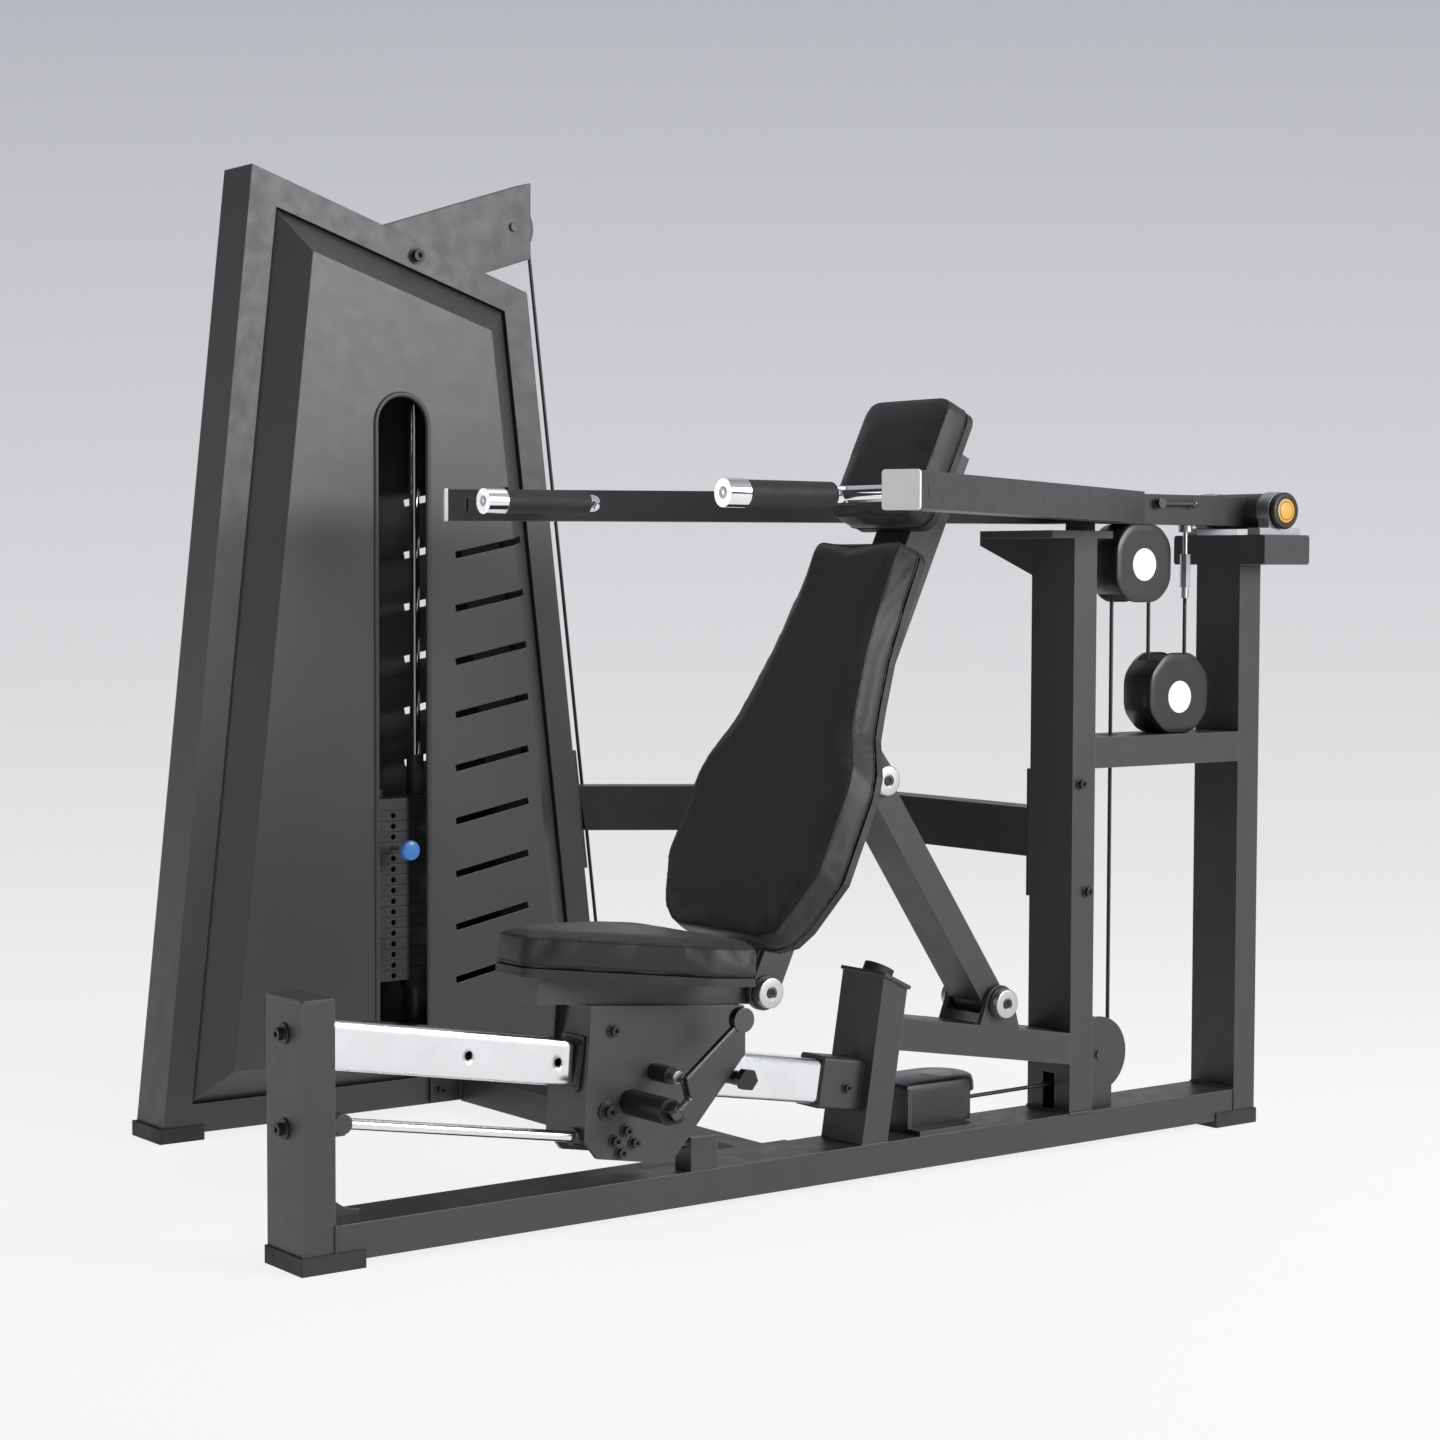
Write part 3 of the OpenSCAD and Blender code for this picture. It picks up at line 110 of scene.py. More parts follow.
def lathe(name, profile, matrix, material, body, segments=72):
    """A turned piece: profile is (radius, height) in mm, about the matrix's Z."""
    bm = bmesh.new()
    rings = []
    for r, h in profile:
        ring = []
        for i in range(segments):
            a = 2 * math.pi * i / segments
            ring.append(bm.verts.new(matrix @ Vector((r * MM * math.cos(a), r * MM * math.sin(a), h * MM))))
        rings.append(ring)
    for low, high in zip(rings, rings[1:]):
        for i in range(segments):
            j = (i + 1) % segments
            bm.faces.new((low[i], low[j], high[j], high[i]))
    bm.faces.new(list(reversed(rings[0])))
    bm.faces.new(rings[-1])
    bmesh.ops.recalc_face_normals(bm, faces=bm.faces)
    mesh = bpy.data.meshes.new(name)
    bm.to_mesh(mesh)
    bm.free()
    set_sharp(mesh)
    return add_object(name, mesh, material, body, smooth=False)


def rounded(r0, r1, h0, h1, edge):
    """Profile of a ring or disc from h0 to h1 mm with rounded outer edges."""
    points = [(r0, h0)]
    for i in range(5):
        a = math.pi / 2 * i / 4
        points.append((r1 - edge + edge * math.sin(a), h0 + edge - edge * math.cos(a)))
    for i in range(5):
        a = math.pi / 2 * i / 4
        points.append((r1 - edge + edge * math.cos(a), h1 - edge + edge * math.sin(a)))
    points.append((r0, h1))
    return points


def sweep(name, points, radius, material, body, closed=False, sides=12):
    """A round cord of the given radius (m) along a line of points."""
    points = [Vector(p) for p in points]
    count = len(points)
    bm = bmesh.new()
    rings = []
    normal = None
    for i, p in enumerate(points):
        before = points[i - 1] if i or closed else p
        after = points[(i + 1) % count] if i + 1 < count or closed else p
        tangent = (after - before).normalized()
        if normal is None:
            normal = tangent.orthogonal().normalized()
        normal = (normal - tangent * normal.dot(tangent)).normalized()
        other = tangent.cross(normal)
        ring = []
        for k in range(sides):
            a = 2 * math.pi * k / sides
            ring.append(bm.verts.new(p + radius * (math.cos(a) * normal + math.sin(a) * other)))
        rings.append(ring)
    spans = list(zip(rings, rings[1:])) + ([(rings[-1], rings[0])] if closed else [])
    for low, high in spans:
        for k in range(sides):
            j = (k + 1) % sides
            bm.faces.new((low[k], low[j], high[j], high[k]))
    if not closed:
        bm.faces.new(list(reversed(rings[0])))
        bm.faces.new(rings[-1])
    bmesh.ops.recalc_face_normals(bm, faces=bm.faces)
    mesh = bpy.data.meshes.new(name)
    bm.to_mesh(mesh)
    bm.free()
    return add_object(name, mesh, material, body)


# ---- materials ----

class Nodes:
    """Thin wrapper that adds and links shader nodes."""

    def __init__(self, name):
        self.material = bpy.data.materials.new(name)
        self.material.use_nodes = True
        self.tree = self.material.node_tree
        self.shader = self.tree.nodes["Principled BSDF"]
        self.coords = self.add("ShaderNodeTexCoord").outputs["Object"]

    def add(self, kind, **settings):
        node = self.tree.nodes.new(kind)
        for key, value in settings.items():
            if key in node.inputs:
                node.inputs[key].default_value = value
            else:
                setattr(node, key, value)
        return node

    def link(self, a, b):
        self.tree.links.new(a, b)

    def noise(self, scale, detail=3.0, stretch=None):
        node = self.add("ShaderNodeTexNoise", Scale=scale, Detail=detail)
        source = self.coords
        if stretch:
            mapping = self.add("ShaderNodeMapping")
            mapping.inputs["Scale"].default_value = stretch
            self.link(self.coords, mapping.inputs["Vector"])
            source = mapping.outputs["Vector"]
        self.link(source, node.inputs["Vector"])
        return node.outputs["Fac"]

    def spread(self, value, low, high):
        node = self.add("ShaderNodeMapRange")
        node.inputs["From Min"].default_value = 0.3
        node.inputs["From Max"].default_value = 0.7
        node.inputs["To Min"].default_value = low
        node.inputs["To Max"].default_value = high
        self.link(value, node.inputs["Value"])
        return node.outputs["Result"]

    def mix(self, factor, a, b):
        node = self.add("ShaderNodeMix", data_type="RGBA")
        node.inputs[6].default_value = (*a, 1)
        node.inputs[7].default_value = (*b, 1)
        self.link(factor, node.inputs[0])
        return node.outputs[2]


def edge_mask(n, radius):
    """White on edges: how far a rounded normal turns from the true one."""
    bevel = n.add("ShaderNodeBevel", Radius=radius)
    bevel.samples = 6
    geometry = n.add("ShaderNodeNewGeometry")
    dot = n.add("ShaderNodeVectorMath", operation="DOT_PRODUCT")
    n.link(bevel.outputs[0], dot.inputs[0])
    n.link(geometry.outputs["Normal"], dot.inputs[1])
    mask = n.add("ShaderNodeMapRange")
    mask.inputs["From Min"].default_value = 0.995
    mask.inputs["From Max"].default_value = 0.86
    n.link(dot.outputs["Value"], mask.inputs["Value"])
    return bevel.outputs[0], mask.outputs["Result"]


def shade(n, colour, dark, rough, metal, grain, grain_depth, edge, worn=None, patch=6.0):
    """Joins colour patches, roughness patches, surface grain and soft edges to the shader."""
    patches = n.noise(patch, 4)
    base = n.mix(n.spread(patches, 0, 1), dark, colour)
    bevel, mask = edge_mask(n, edge)
    if worn:
        mix = n.add("ShaderNodeMix", data_type="RGBA")
        fade = n.add("ShaderNodeMath", operation="MULTIPLY")
        fade.inputs[1].default_value = 0.55
        n.link(mask, fade.inputs[0])
        n.link(fade.outputs[0], mix.inputs[0])
        n.link(base, mix.inputs[6])
        mix.inputs[7].default_value = (*worn, 1)
        base = mix.outputs[2]
    n.link(base, n.shader.inputs["Base Color"])
    n.link(n.spread(n.noise(patch * 5, 3), rough[0], rough[1]), n.shader.inputs["Roughness"])
    n.shader.inputs["Metallic"].default_value = metal
    bump = n.add("ShaderNodeBump", Strength=1.0, Distance=grain_depth)
    n.link(grain, bump.inputs["Height"])
    n.link(bevel, bump.inputs["Normal"])
    n.link(bump.outputs[0], n.shader.inputs["Normal"])
    return n.material


def powder_coat(name, colour, dark, rough=(0.36, 0.46), metal=0.25, worn=(0.42, 0.42, 0.42),
                shade_below_y=None):
    """Painted metal; past an optional Y the same surface is painted near-black instead of grey, a painted
    shade standing in for the shadow under the seat.
    """
    n = Nodes(name)
    grain = n.noise(900, 2)
    material = shade(n, colour, dark, rough, metal, grain, 0.00005, 0.0016, worn)
    if shade_below_y is not None:
        # Painted shade: beyond the given Y the grey is swapped for near-black, standing in for the shadow
        # under the seat pad.
        paint = n.shader.inputs["Base Color"].links[0].from_socket
        split = n.add("ShaderNodeSeparateXYZ")
        n.link(n.coords, split.inputs[0])
        beyond = n.add("ShaderNodeMath", operation="LESS_THAN")
        beyond.inputs[1].default_value = shade_below_y
        n.link(split.outputs["Y"], beyond.inputs[0])
        mix = n.add("ShaderNodeMix", data_type="RGBA")
        n.link(beyond.outputs[0], mix.inputs[0])
        n.link(paint, mix.inputs[6])
        mix.inputs[7].default_value = (0.018, 0.018, 0.019, 1)
        n.link(mix.outputs[2], n.shader.inputs["Base Color"])
    return material


def chrome(name, rough=(0.05, 0.1), colour=(0.82, 0.83, 0.85), stretch=(4, 4, 40), edge=0.0012):
    n = Nodes(name)
    grain = n.noise(60, 3, stretch)
    return shade(n, colour, tuple(0.93 * c for c in colour), rough, 1.0, grain, 0.000012, edge, patch=18)


def plastic(name, colour, rough, grain_size=700, depth=0.00004, coat=0.0):
    n = Nodes(name)
    n.shader.inputs["Coat Weight"].default_value = coat
    n.shader.inputs["Coat Roughness"].default_value = 0.08
    dark = tuple(0.75 * c for c in colour)
    return shade(n, colour, dark, rough, 0.0, n.noise(grain_size, 2), depth, 0.0012)


def leather(name):
    """Black vinyl: small irregular cells with fine creases between them."""
    n = Nodes(name)
    cells = n.add("ShaderNodeTexVoronoi", Scale=620.0, feature="DISTANCE_TO_EDGE")
    warp = n.noise(90, 3)
    offset = n.add("ShaderNodeVectorMath", operation="ADD")
    scaled = n.add("ShaderNodeVectorMath", operation="SCALE")
    scaled.inputs["Scale"].default_value = 0.004
    n.link(warp, scaled.inputs[0])
    n.link(n.coords, offset.inputs[0])
    n.link(scaled.outputs[0], offset.inputs[1])
    n.link(offset.outputs[0], cells.inputs["Vector"])
    grain = n.add("ShaderNodeMapRange")
    grain.inputs["From Max"].default_value = 0.12
    n.link(cells.outputs["Distance"], grain.inputs["Value"])
    n.shader.inputs["Sheen Weight"].default_value = 0.08
    n.shader.inputs["Specular IOR Level"].default_value = 0.36
    return shade(n, (0.022, 0.022, 0.023), (0.017, 0.017, 0.018), (0.40, 0.48), 0.0,
                 grain.outputs["Result"], 0.00006, 0.001, patch=4)


def rubber(name):
    n = Nodes(name)
    grain = n.noise(500, 4)
    return shade(n, (0.022, 0.022, 0.022), (0.013, 0.013, 0.013), (0.6, 0.78), 0.0, grain, 0.00012, 0.002)


def cast_iron(name):
    n = Nodes(name)
    grain = n.noise(260, 5)
    return shade(n, (0.060, 0.060, 0.062), (0.035, 0.035, 0.036), (0.42, 0.6), 0.35, grain, 0.0002, 0.0015,
                 (0.22, 0.22, 0.22))


def plywood(name):
    n = Nodes(name)
    grain = n.noise(60, 4, (1, 1, 12))
    return shade(n, (0.028, 0.027, 0.026), (0.014, 0.014, 0.014), (0.5, 0.66), 0.0, grain, 0.0002, 0.001)


GREY = powder_coat("frame_grey", (0.048, 0.048, 0.049), (0.045, 0.045, 0.046), worn=(0.22, 0.22, 0.22))
# The carriage's near side past y = -0.0502 is painted near-black: painted shade for the shadow under the
# seat.
CARRIAGE = powder_coat("carriage_grey", (0.052, 0.052, 0.053), (0.049, 0.049, 0.050),
                       worn=(0.22, 0.22, 0.22), shade_below_y=-0.0502)
SHROUD = powder_coat("shroud_grey", (0.060, 0.060, 0.062), (0.057, 0.057, 0.059), (0.38, 0.42),
                     worn=(0.2, 0.2, 0.2))
CHARCOAL = powder_coat("arm_charcoal", (0.036, 0.036, 0.037), (0.032, 0.032, 0.033), worn=(0.2, 0.2, 0.2))
CHROME = chrome("chrome_polished")
RAIL_CHROME = chrome("chrome_rail", edge=0.009)
GUNMETAL = chrome("steel_blackened", (0.26, 0.36), (0.11, 0.11, 0.115))
STEEL = chrome("steel_satin", (0.30, 0.36), (0.50, 0.51, 0.53), (8, 4, 4))
SILVER = chrome("cap_silver", (0.34, 0.42), (0.52, 0.52, 0.53), (20, 20, 20))
END_CAP = plastic("end_cap_silver", (0.90, 0.90, 0.91), (0.28, 0.36), 900, 0.00001, 0.3)
BOLT_BLACK = powder_coat("bolt_black", (0.028, 0.028, 0.029), (0.018, 0.018, 0.018), (0.34, 0.48), 0.5,
                         (0.18, 0.18, 0.18))
NYLON = plastic("nylon_black", (0.026, 0.026, 0.027), (0.38, 0.5))
GLOSS = plastic("gloss_black", (0.014, 0.014, 0.0145), (0.34, 0.38), 300, 0.000003, 0.15)
LABEL = plastic("label_white", (0.80, 0.80, 0.81), (0.4, 0.5), 400, 0.00001)
ORANGE = plastic("disc_orange", (0.72, 0.38, 0.06), (0.35, 0.45), 400, 0.00001, 0.2)
BLUE = plastic("knob_blue", (0.066, 0.27, 0.75), (0.28, 0.38), 500, 0.00003, 0.4)
VINYL = leather("vinyl_black")
SEAM = plastic("seam_thread", (0.008, 0.008, 0.008), (0.55, 0.7), 1500, 0.0001)
RUBBER = rubber("rubber_black")
IRON = cast_iron("plate_iron")
BOARD = plywood("board_black")
FOAM = plastic("grip_foam", (0.020, 0.020, 0.020), (0.55, 0.68), 800, 0.00012)
RING_DARK = plastic("disc_band", (0.30, 0.15, 0.03), (0.4, 0.5), 400, 0.00001)
CABLE = plastic("cable_coat", (0.018, 0.018, 0.018), (0.3, 0.42), 1200, 0.00004)

NODE_MATERIALS = {
    SHROUD: ["front_shroud", "rear_shroud"],
    CHARCOAL: ["press_arm", "tie_beam", "base_cross_beam"],
    CARRIAGE: ["carriage"],
    CHROME: ["lower_guide_rod", "stack_guide_rods", "handle_bars"],
    RAIL_CHROME: ["slide_rail"],
    GUNMETAL: ["lock_lever", "arm_lever"],
    STEEL: ["lock_pin", "turnbuckle", "pivot_shaft", "pivot_bearings"],
    SILVER: ["strut_pin", "back_pins"],
    END_CAP: ["arm_end_caps"],
    BOLT_BLACK: ["frame_bolts", "carriage_bolts"],
    NYLON: ["rail_bushes", "arm_pulley", "cross_pulley", "upright_foot_pulley", "floor_pulley",
            "tower_foot_pulley", "end_pulley", "stack_pulley"],
    GLOSS: ["pulley_guards", "arm_pulley_guard"],
    RUBBER: ["rubber_feet", "rubber_bumpers"],
    IRON: ["resting_plates", "lifted_plates", "head_plate"],
    BOARD: ["seat_board", "back_boards"],
}


def paint_nodes():
    chosen = {name: material for material, names in NODE_MATERIALS.items() for name in names}
    for name, obj in nodes.items():
        obj.data.materials.clear()
        obj.data.materials.append(chosen.get(name, GREY))


# ---- upholstery ----

def pad_outline(name, direction):
    """The rim of the CAD pad's flat face that looks along direction, as an ordered loop of points."""
    bm = bmesh.new()
    bm.from_mesh(nodes[name].data)
    bmesh.ops.remove_doubles(bm, verts=bm.verts, dist=1e-5)
    face = [f for f in bm.faces if f.normal.dot(direction) > 0.99]
    height = max(f.calc_center_median().dot(direction) for f in face)
    face = set(f for f in face if f.calc_center_median().dot(direction) > height - 1e-3)
    rim = [e for e in bm.edges if sum(f in face for f in e.link_faces) == 1]
    links = {}
    for e in rim:
        a, b = e.verts
        links.setdefault(a, []).append(b)
        links.setdefault(b, []).append(a)
    start = rim[0].verts[0]
    loop, previous, here = [start.co.copy()], None, start
    while True:
        options = [v for v in links[here] if v is not previous]
        previous, here = here, options[0]
        if here is start:
            break
        loop.append(here.co.copy())
    bm.free()
    return resample(loop, 0.006)


def resample(loop, step):
    """Points every step metres around a closed loop."""
    closed = loop + [loop[0]]
    lengths = [(b - a).length for a, b in zip(closed, closed[1:])]
    count = max(12, round(sum(lengths) / step))
    gap = sum(lengths) / count
    points, walked, i = [], 0.0, 0
    for k in range(count):
        target = k * gap
        while walked + lengths[i] < target:
            walked += lengths[i]
            i += 1
        points.append(closed[i].lerp(closed[i + 1], (target - walked) / lengths[i]))
    return points


def swell(obj, back_height, direction, cap):
    """Blows the pad up as cloth, keeping its underside on the board, and caps how far a point moves."""
    rest = [v.co.copy() for v in obj.data.vertices]
    group = obj.vertex_groups.new(name="board")
    fixed = [i for i, co in enumerate(rest) if co.dot(direction) < back_height + 0.004]
    group.add(fixed, 1.0, "REPLACE")
    cloth = obj.modifiers.new("Cloth", "CLOTH")
    cloth.settings.use_pressure = True
    cloth.settings.uniform_pressure_force = 4.0
    cloth.settings.effector_weights.gravity = 0.0
    cloth.settings.vertex_group_mass = "board"
    cloth.settings.quality = 5
    cloth.settings.tension_stiffness = 40
    cloth.settings.compression_stiffness = 40
    cloth.settings.bending_stiffness = 10
    cloth.point_cache.frame_start = 1
    cloth.point_cache.frame_end = 20
    for step in range(1, 21):
        bpy.context.scene.frame_set(step)
    shape = obj.evaluated_get(bpy.context.evaluated_depsgraph_get()).data
    moved = [v.co.copy() for v in shape.vertices]
    obj.modifiers.remove(cloth)
    for v, a, b in zip(obj.data.vertices, rest, moved):
        push = b - a
        if push.length > cap:
            push *= cap / push.length
        v.co = a + push
    bpy.context.scene.frame_set(1)


def pad(name, direction, body, cap=0.006, shrink=0.004, crown=0.0):
    """An upholstered pad from its CAD solid: remeshed, swollen, crowned and smoothed, with its seams."""
    direction = Vector(direction).normalized()
    mesh = nodes[name].data.copy()
    obj = add_object(name + "_upholstery", mesh, VINYL, None)
    bm = bmesh.new()
    bm.from_mesh(mesh)
    bmesh.ops.remove_doubles(bm, verts=bm.verts, dist=1e-5)
    bm.to_mesh(mesh)
    bm.free()
    remesh = obj.modifiers.new("Remesh", "REMESH")
    remesh.mode = "VOXEL"
    remesh.voxel_size = 0.006
    bpy.context.view_layer.objects.active = obj
    shape = bpy.data.meshes.new_from_object(obj.evaluated_get(bpy.context.evaluated_depsgraph_get()))
    obj.modifiers.clear()
    obj.data = shape
    shape.materials.clear()
    shape.materials.append(VINYL)
    heights = [v.co.dot(direction) for v in shape.vertices]
    low, high = min(heights), max(heights)
    middle = node_centre(name)
    normals = [v.normal.copy() for v in shape.vertices]
    for v, normal in zip(shape.vertices, normals):
        sideways = normal - direction * normal.dot(direction)
        lift = (v.co.dot(direction) - low) / (high - low)
        v.co -= sideways * shrink + direction * (shrink * lift)
    if crown:
        reach = max((v.co - middle).length for v in shape.vertices)
        for v in shape.vertices:
            lift = (v.co.dot(direction) - low) / (high - low)
            away = v.co - middle
            flat = (away - direction * away.dot(direction)).length / reach
            v.co += direction * (crown * max(0.0, lift) ** 2 * math.cos(min(1.0, flat) * math.pi / 2))
    swell(obj, low, direction, cap)
    smooth = obj.modifiers.new("Smooth", "SMOOTH")
    smooth.factor = 0.5
    smooth.iterations = 9
    fine = obj.modifiers.new("Fine", "SUBSURF")
    fine.levels = 1
    fine.render_levels = fine.levels
    final = bpy.data.meshes.new_from_object(obj.evaluated_get(bpy.context.evaluated_depsgraph_get()))
    obj.modifiers.clear()
    obj.data = final
    final.shade_smooth()
    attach(obj, body)
    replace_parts(obj, name)
    add_seams(name, obj, direction, low, high, body)
    return obj


def add_seams(name, obj, direction, low, high, body):
    """Sewn lines round the front edge and just above the board, laid on the finished surface."""
    tree = BVHTree.FromPolygons([v.co for v in obj.data.vertices], [p.vertices for p in obj.data.polygons])
    rim = pad_outline(name, direction)
    middle = node_centre(name)
    for label, depth in (("front", 0.006), ("board", high - low - 0.006)):
        line = []
        for p in rim:
            outside = p - direction * depth
            away = outside - middle
            away = (away - direction * away.dot(direction)).normalized()
            hit = tree.ray_cast(outside + away * 0.05, -away)[0] or tree.find_nearest(outside)[0]
            line.append(hit)
        seam = sweep(f"{name}_seam_{label}", line, 0.0011, SEAM, body, closed=True, sides=8)


def build_pads():
    back_up = front_direction("back_pad")
    pad("back_pad", back_up, "backrest", crown=0.004)
    pad("head_pad", back_up, "backrest", crown=0.003)
    seat_up = Vector((math.sin(math.radians(4.9)), 0, math.cos(math.radians(4.9))))
    pad("seat_pad", seat_up, "seat", cap=0.007, crown=0.006)


def front_direction(name):
    """The direction the pad's big front face looks in."""
    biggest = max(nodes[name].data.polygons, key=lambda p: p.area * (p.normal.x < -0.5))
    return biggest.normal.copy()


# ---- cables ----

ROPE = 0.0032
GROOVE = 0.043


def arc(centre, axis, start, angle, steps=24):
    """Points on a pulley's groove: start is a unit vector that turns about axis by angle degrees."""
    turns = [Matrix.Rotation(math.radians(angle) * i / steps, 3, axis) for i in range(steps + 1)]
    return [centre + (turn @ start) * GROOVE for turn in turns]


def straight(a, b, step=0.02):
    count = max(2, round((b - a).length / step))
    return [a.lerp(b, i / count) for i in range(count + 1)]


def rope(name, points, body):
    cord = sweep(name, points, ROPE, CABLE, body)
    return cord


def build_cables():
    """The cable from the press arm to the stack; the runs that change length are straight cords attached to
    no body.
    """
    foot, arm_top = joint_point("upright_foot_pulley_spin"), joint_point("arm_pulley_spin")
    cross, floor = joint_point("cross_pulley_spin"), joint_point("floor_pulley_spin")
    tower, end = joint_point("tower_foot_pulley_spin"), joint_point("end_pulley_spin")
    top = joint_point("stack_pulley_spin")
    side = X * GROOVE
    moving = [("cable_front_run", foot + side, arm_top - side),
              ("cable_middle_run", cross - side, arm_top + side),
              ("cable_rear_run", cross + side, Vector((cross.x + GROOVE, 0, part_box("turnbuckle")[0].z)))]
    for name, low, high in moving:
        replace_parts(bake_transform(rope(name, straight(low, high), None)), "cables")
    rope("cable_arm_turn", arc(arm_top, Y, -X, 180), "arm")
    rope("cable_cross_turn", arc(cross, Y, X, 180), "frame")
    rope("cable_foot_turn", arc(foot, Y, X, 90), "frame")
    rope("cable_floor_run", straight(foot - Z * GROOVE, floor - Y * GROOVE), "frame")
    rope("cable_floor_turn", arc(floor, Z, -Y, -90), "frame")
    tower_axis = Vector(joints["tower_foot_pulley_spin"]["axis"])
    out = tower_axis.cross(Y)
    out.normalize()
    low = tower - out * GROOVE
    rope("cable_base_run", straight(floor - side, low), "frame")
    rope("cable_tower_turn", arc(tower, tower_axis, -out, 90), "frame")
    lean = math.atan2(out.x, out.z)
    right = Vector((math.cos(lean), 0, -math.sin(lean)))
    rope("cable_tower_run", straight(tower + Y * GROOVE, end + right * GROOVE), "frame")
    rise = (end - top).normalized()
    above = Vector((-rise.z, 0, rise.x))
    across = math.degrees(above.angle(right))
    rope("cable_end_turn", arc(end, Y, above, across), "frame")
    rope("cable_top_run", straight(top + above * GROOVE, end + above * GROOVE), "frame")
    rope("cable_top_turn", arc(top, Y, -X, math.degrees((-X).angle(above))), "frame")
    low = Vector((top.x - GROOVE, top.y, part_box("head_plate")[1].z))
    high = top - side
    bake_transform(rope("cable_stack_run", straight(high, low), None))


# ---- small parts ----

def hinge_cap(name, point, side, body):
    """White cap with a recessed bolt head on a black ring, on one end of a pivot."""
    lug = 50 * MM
    matrix = aim(point + Y * side * lug, Y * side)
    ring = lathe(name + "_ring", rounded(0.5, 25.0, 0.0, 5.5, 1.5), matrix, NYLON, body)
    recess = [(9.6, 17.5), (9.4, 15.0), (0.5, 15.0)]
    cap = lathe(name + "_cap", rounded(0.5, 23, 5.0, 17.5, 2.0)[:-1] + recess, matrix, SILVER, body)
    head = [(0.4, 14.6), (7.8, 14.6), (7.8, 16.6), (7.2, 17.2),
            (4.6, 17.2), (4.2, 16.8), (4.2, 15.4), (0.4, 15.4)]
    socket = lathe(name + "_socket", head, matrix, BOLT_BLACK, body)
    return [ring, cap, socket]


def build_hinges():
    near_far = ((-1, "near"), (1, "far"))
    strut, seat = joint_point("strut_hinge"), joint_point("backrest_hinge")
    ring = 25 * MM
    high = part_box("back_pins")[1]
    upper = Vector((high.x - ring, 0, high.z - ring))
    for side, tag in near_far:
        pieces = hinge_cap(f"strut_hinge_{tag}", strut, side, "frame")
        for place, where in (("seat", seat), ("upper", upper)):
            for piece in hinge_cap(f"{place}_hinge_{tag}", where, side, "backrest"):
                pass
    pin = lathe("strut_hinge_pin", rounded(0.5, 8, -50, 50, 1), aim(strut, Y), STEEL, "frame")
    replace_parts(pin, "strut_pin")
    pin = lathe("seat_hinge_pin", rounded(0.5, 8, -50, 50, 1), aim(seat, Y), STEEL, "backrest")
    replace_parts(pin, "back_pins")


def build_grips():
    """Foam grips with fine turned rings, and a hex bolt in each chrome grip end."""
    low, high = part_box("hand_grips")
    radius = (high.z - low.z) / 2 / MM
    length = (high.x - low.x) / MM
    profile = [(13.2, 0.2), (radius - 1.5, 0.2), (radius, 1.8)]
    rings = 44
    for i in range(rings):
        h = 3 + (length - 6) * i / rings
        gap = (length - 6) / rings
        profile += [(radius, h), (radius, h + 0.72 * gap), (radius - 0.45, h + 0.86 * gap)]
    profile += [(radius, length - 2.4), (radius - 1.5, length - 0.4), (13.2, length - 0.2)]
    pieces = []
    for side, tag in ((-1, "near"), (1, "far")):
        y = side * (high.y - radius * MM)
        start = Vector((low.x, y, (low.z + high.z) / 2))
        pieces.append(lathe(f"hand_grip_{tag}", profile, aim(start, X), FOAM, "arm", 48))
        tip = Vector((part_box("handle_bars")[0].x, y, start.z))
        bolt = [(0.4, -0.4), (3.4, -0.4), (3.8, 0.8), (7.6, 0.9), (8.4, 0.3), (8.6, -0.6)]
        lathe(f"grip_end_bolt_{tag}", bolt, aim(tip, -X), STEEL, "arm", 36)
    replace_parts(pieces[0], "hand_grips")


def build_pivot_caps():
    """Black rings with an orange disc and its dark band on both ends of the arm's pivot."""
    ring_profile = [(0.5, 0), (29, 0), (31, 2), (31, 7), (29, 9.4), (23.5, 10.4), (21.2, 10),
                    (20.6, 8.2), (0.5, 8.2)]
    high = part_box("pivot_caps")[1].y
    pivot = joint_point("arm_lift")
    for side, tag in ((-1, "near"), (1, "far")):
        matrix = aim(pivot + Y * side * (high - 11 * MM), Y * side)
        ring = lathe(f"pivot_ring_{tag}", ring_profile, matrix, GLOSS, "arm")
        disc = lathe(f"pivot_disc_{tag}", rounded(0.5, 20.2, 8.0, 9.4, 0.5), matrix, ORANGE, "arm")
        band = lathe(f"pivot_band_{tag}", rounded(0.5, 16.4, 9.3, 9.6, 0.1), matrix, RING_DARK, "arm")
        centre = lathe(f"pivot_centre_{tag}", rounded(0.5, 14.8, 9.5, 9.9, 0.15), matrix, ORANGE, "arm")
        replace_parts(ring, "pivot_caps")


def build_knob():
    """Blue selector knob with a waist, on its chrome pin."""
    low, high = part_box("selector_pin")
    tip = Vector(((low.x + high.x) / 2, low.y, (low.z + high.z) / 2))
    matrix = aim(tip, Y)
    profile = [(0.4, 0), (12, 0), (15.5, 1), (17.2, 3.6), (17.4, 9), (16.6, 15), (13.5, 19),
               (10, 21.5), (8.8, 25), (8.8, 31), (8, 32), (0.4, 32)]
    knob = lathe("selector_knob", profile, matrix, BLUE, "selector")
    length = (high.y - low.y) / MM
    shank = lathe("selector_shank", rounded(0.4, 4.4, 31, length, 1.2), matrix, CHROME, "selector")
    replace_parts(knob, "selector_pin")


# ---- pulley guards ----

CORNER = 0.045
HOOD_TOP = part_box("pulley_guards")[0].z + 68 * MM


def fillet(points, radius, steps=6):
    """A closed outline with its corners rounded."""
    loop = []
    for i, p in enumerate(points):
        a = (points[i - 1] - p).normalized()
        b = (points[(i + 1) % len(points)] - p).normalized()
        half = a.angle(b) / 2
        reach = radius / math.tan(half)
        start, end = p + a * reach, p + b * reach
        for k in range(steps + 1):
            t = k / steps
            loop.append(start * (1 - t) ** 2 + p * 2 * t * (1 - t) + end * t * t)
    return loop


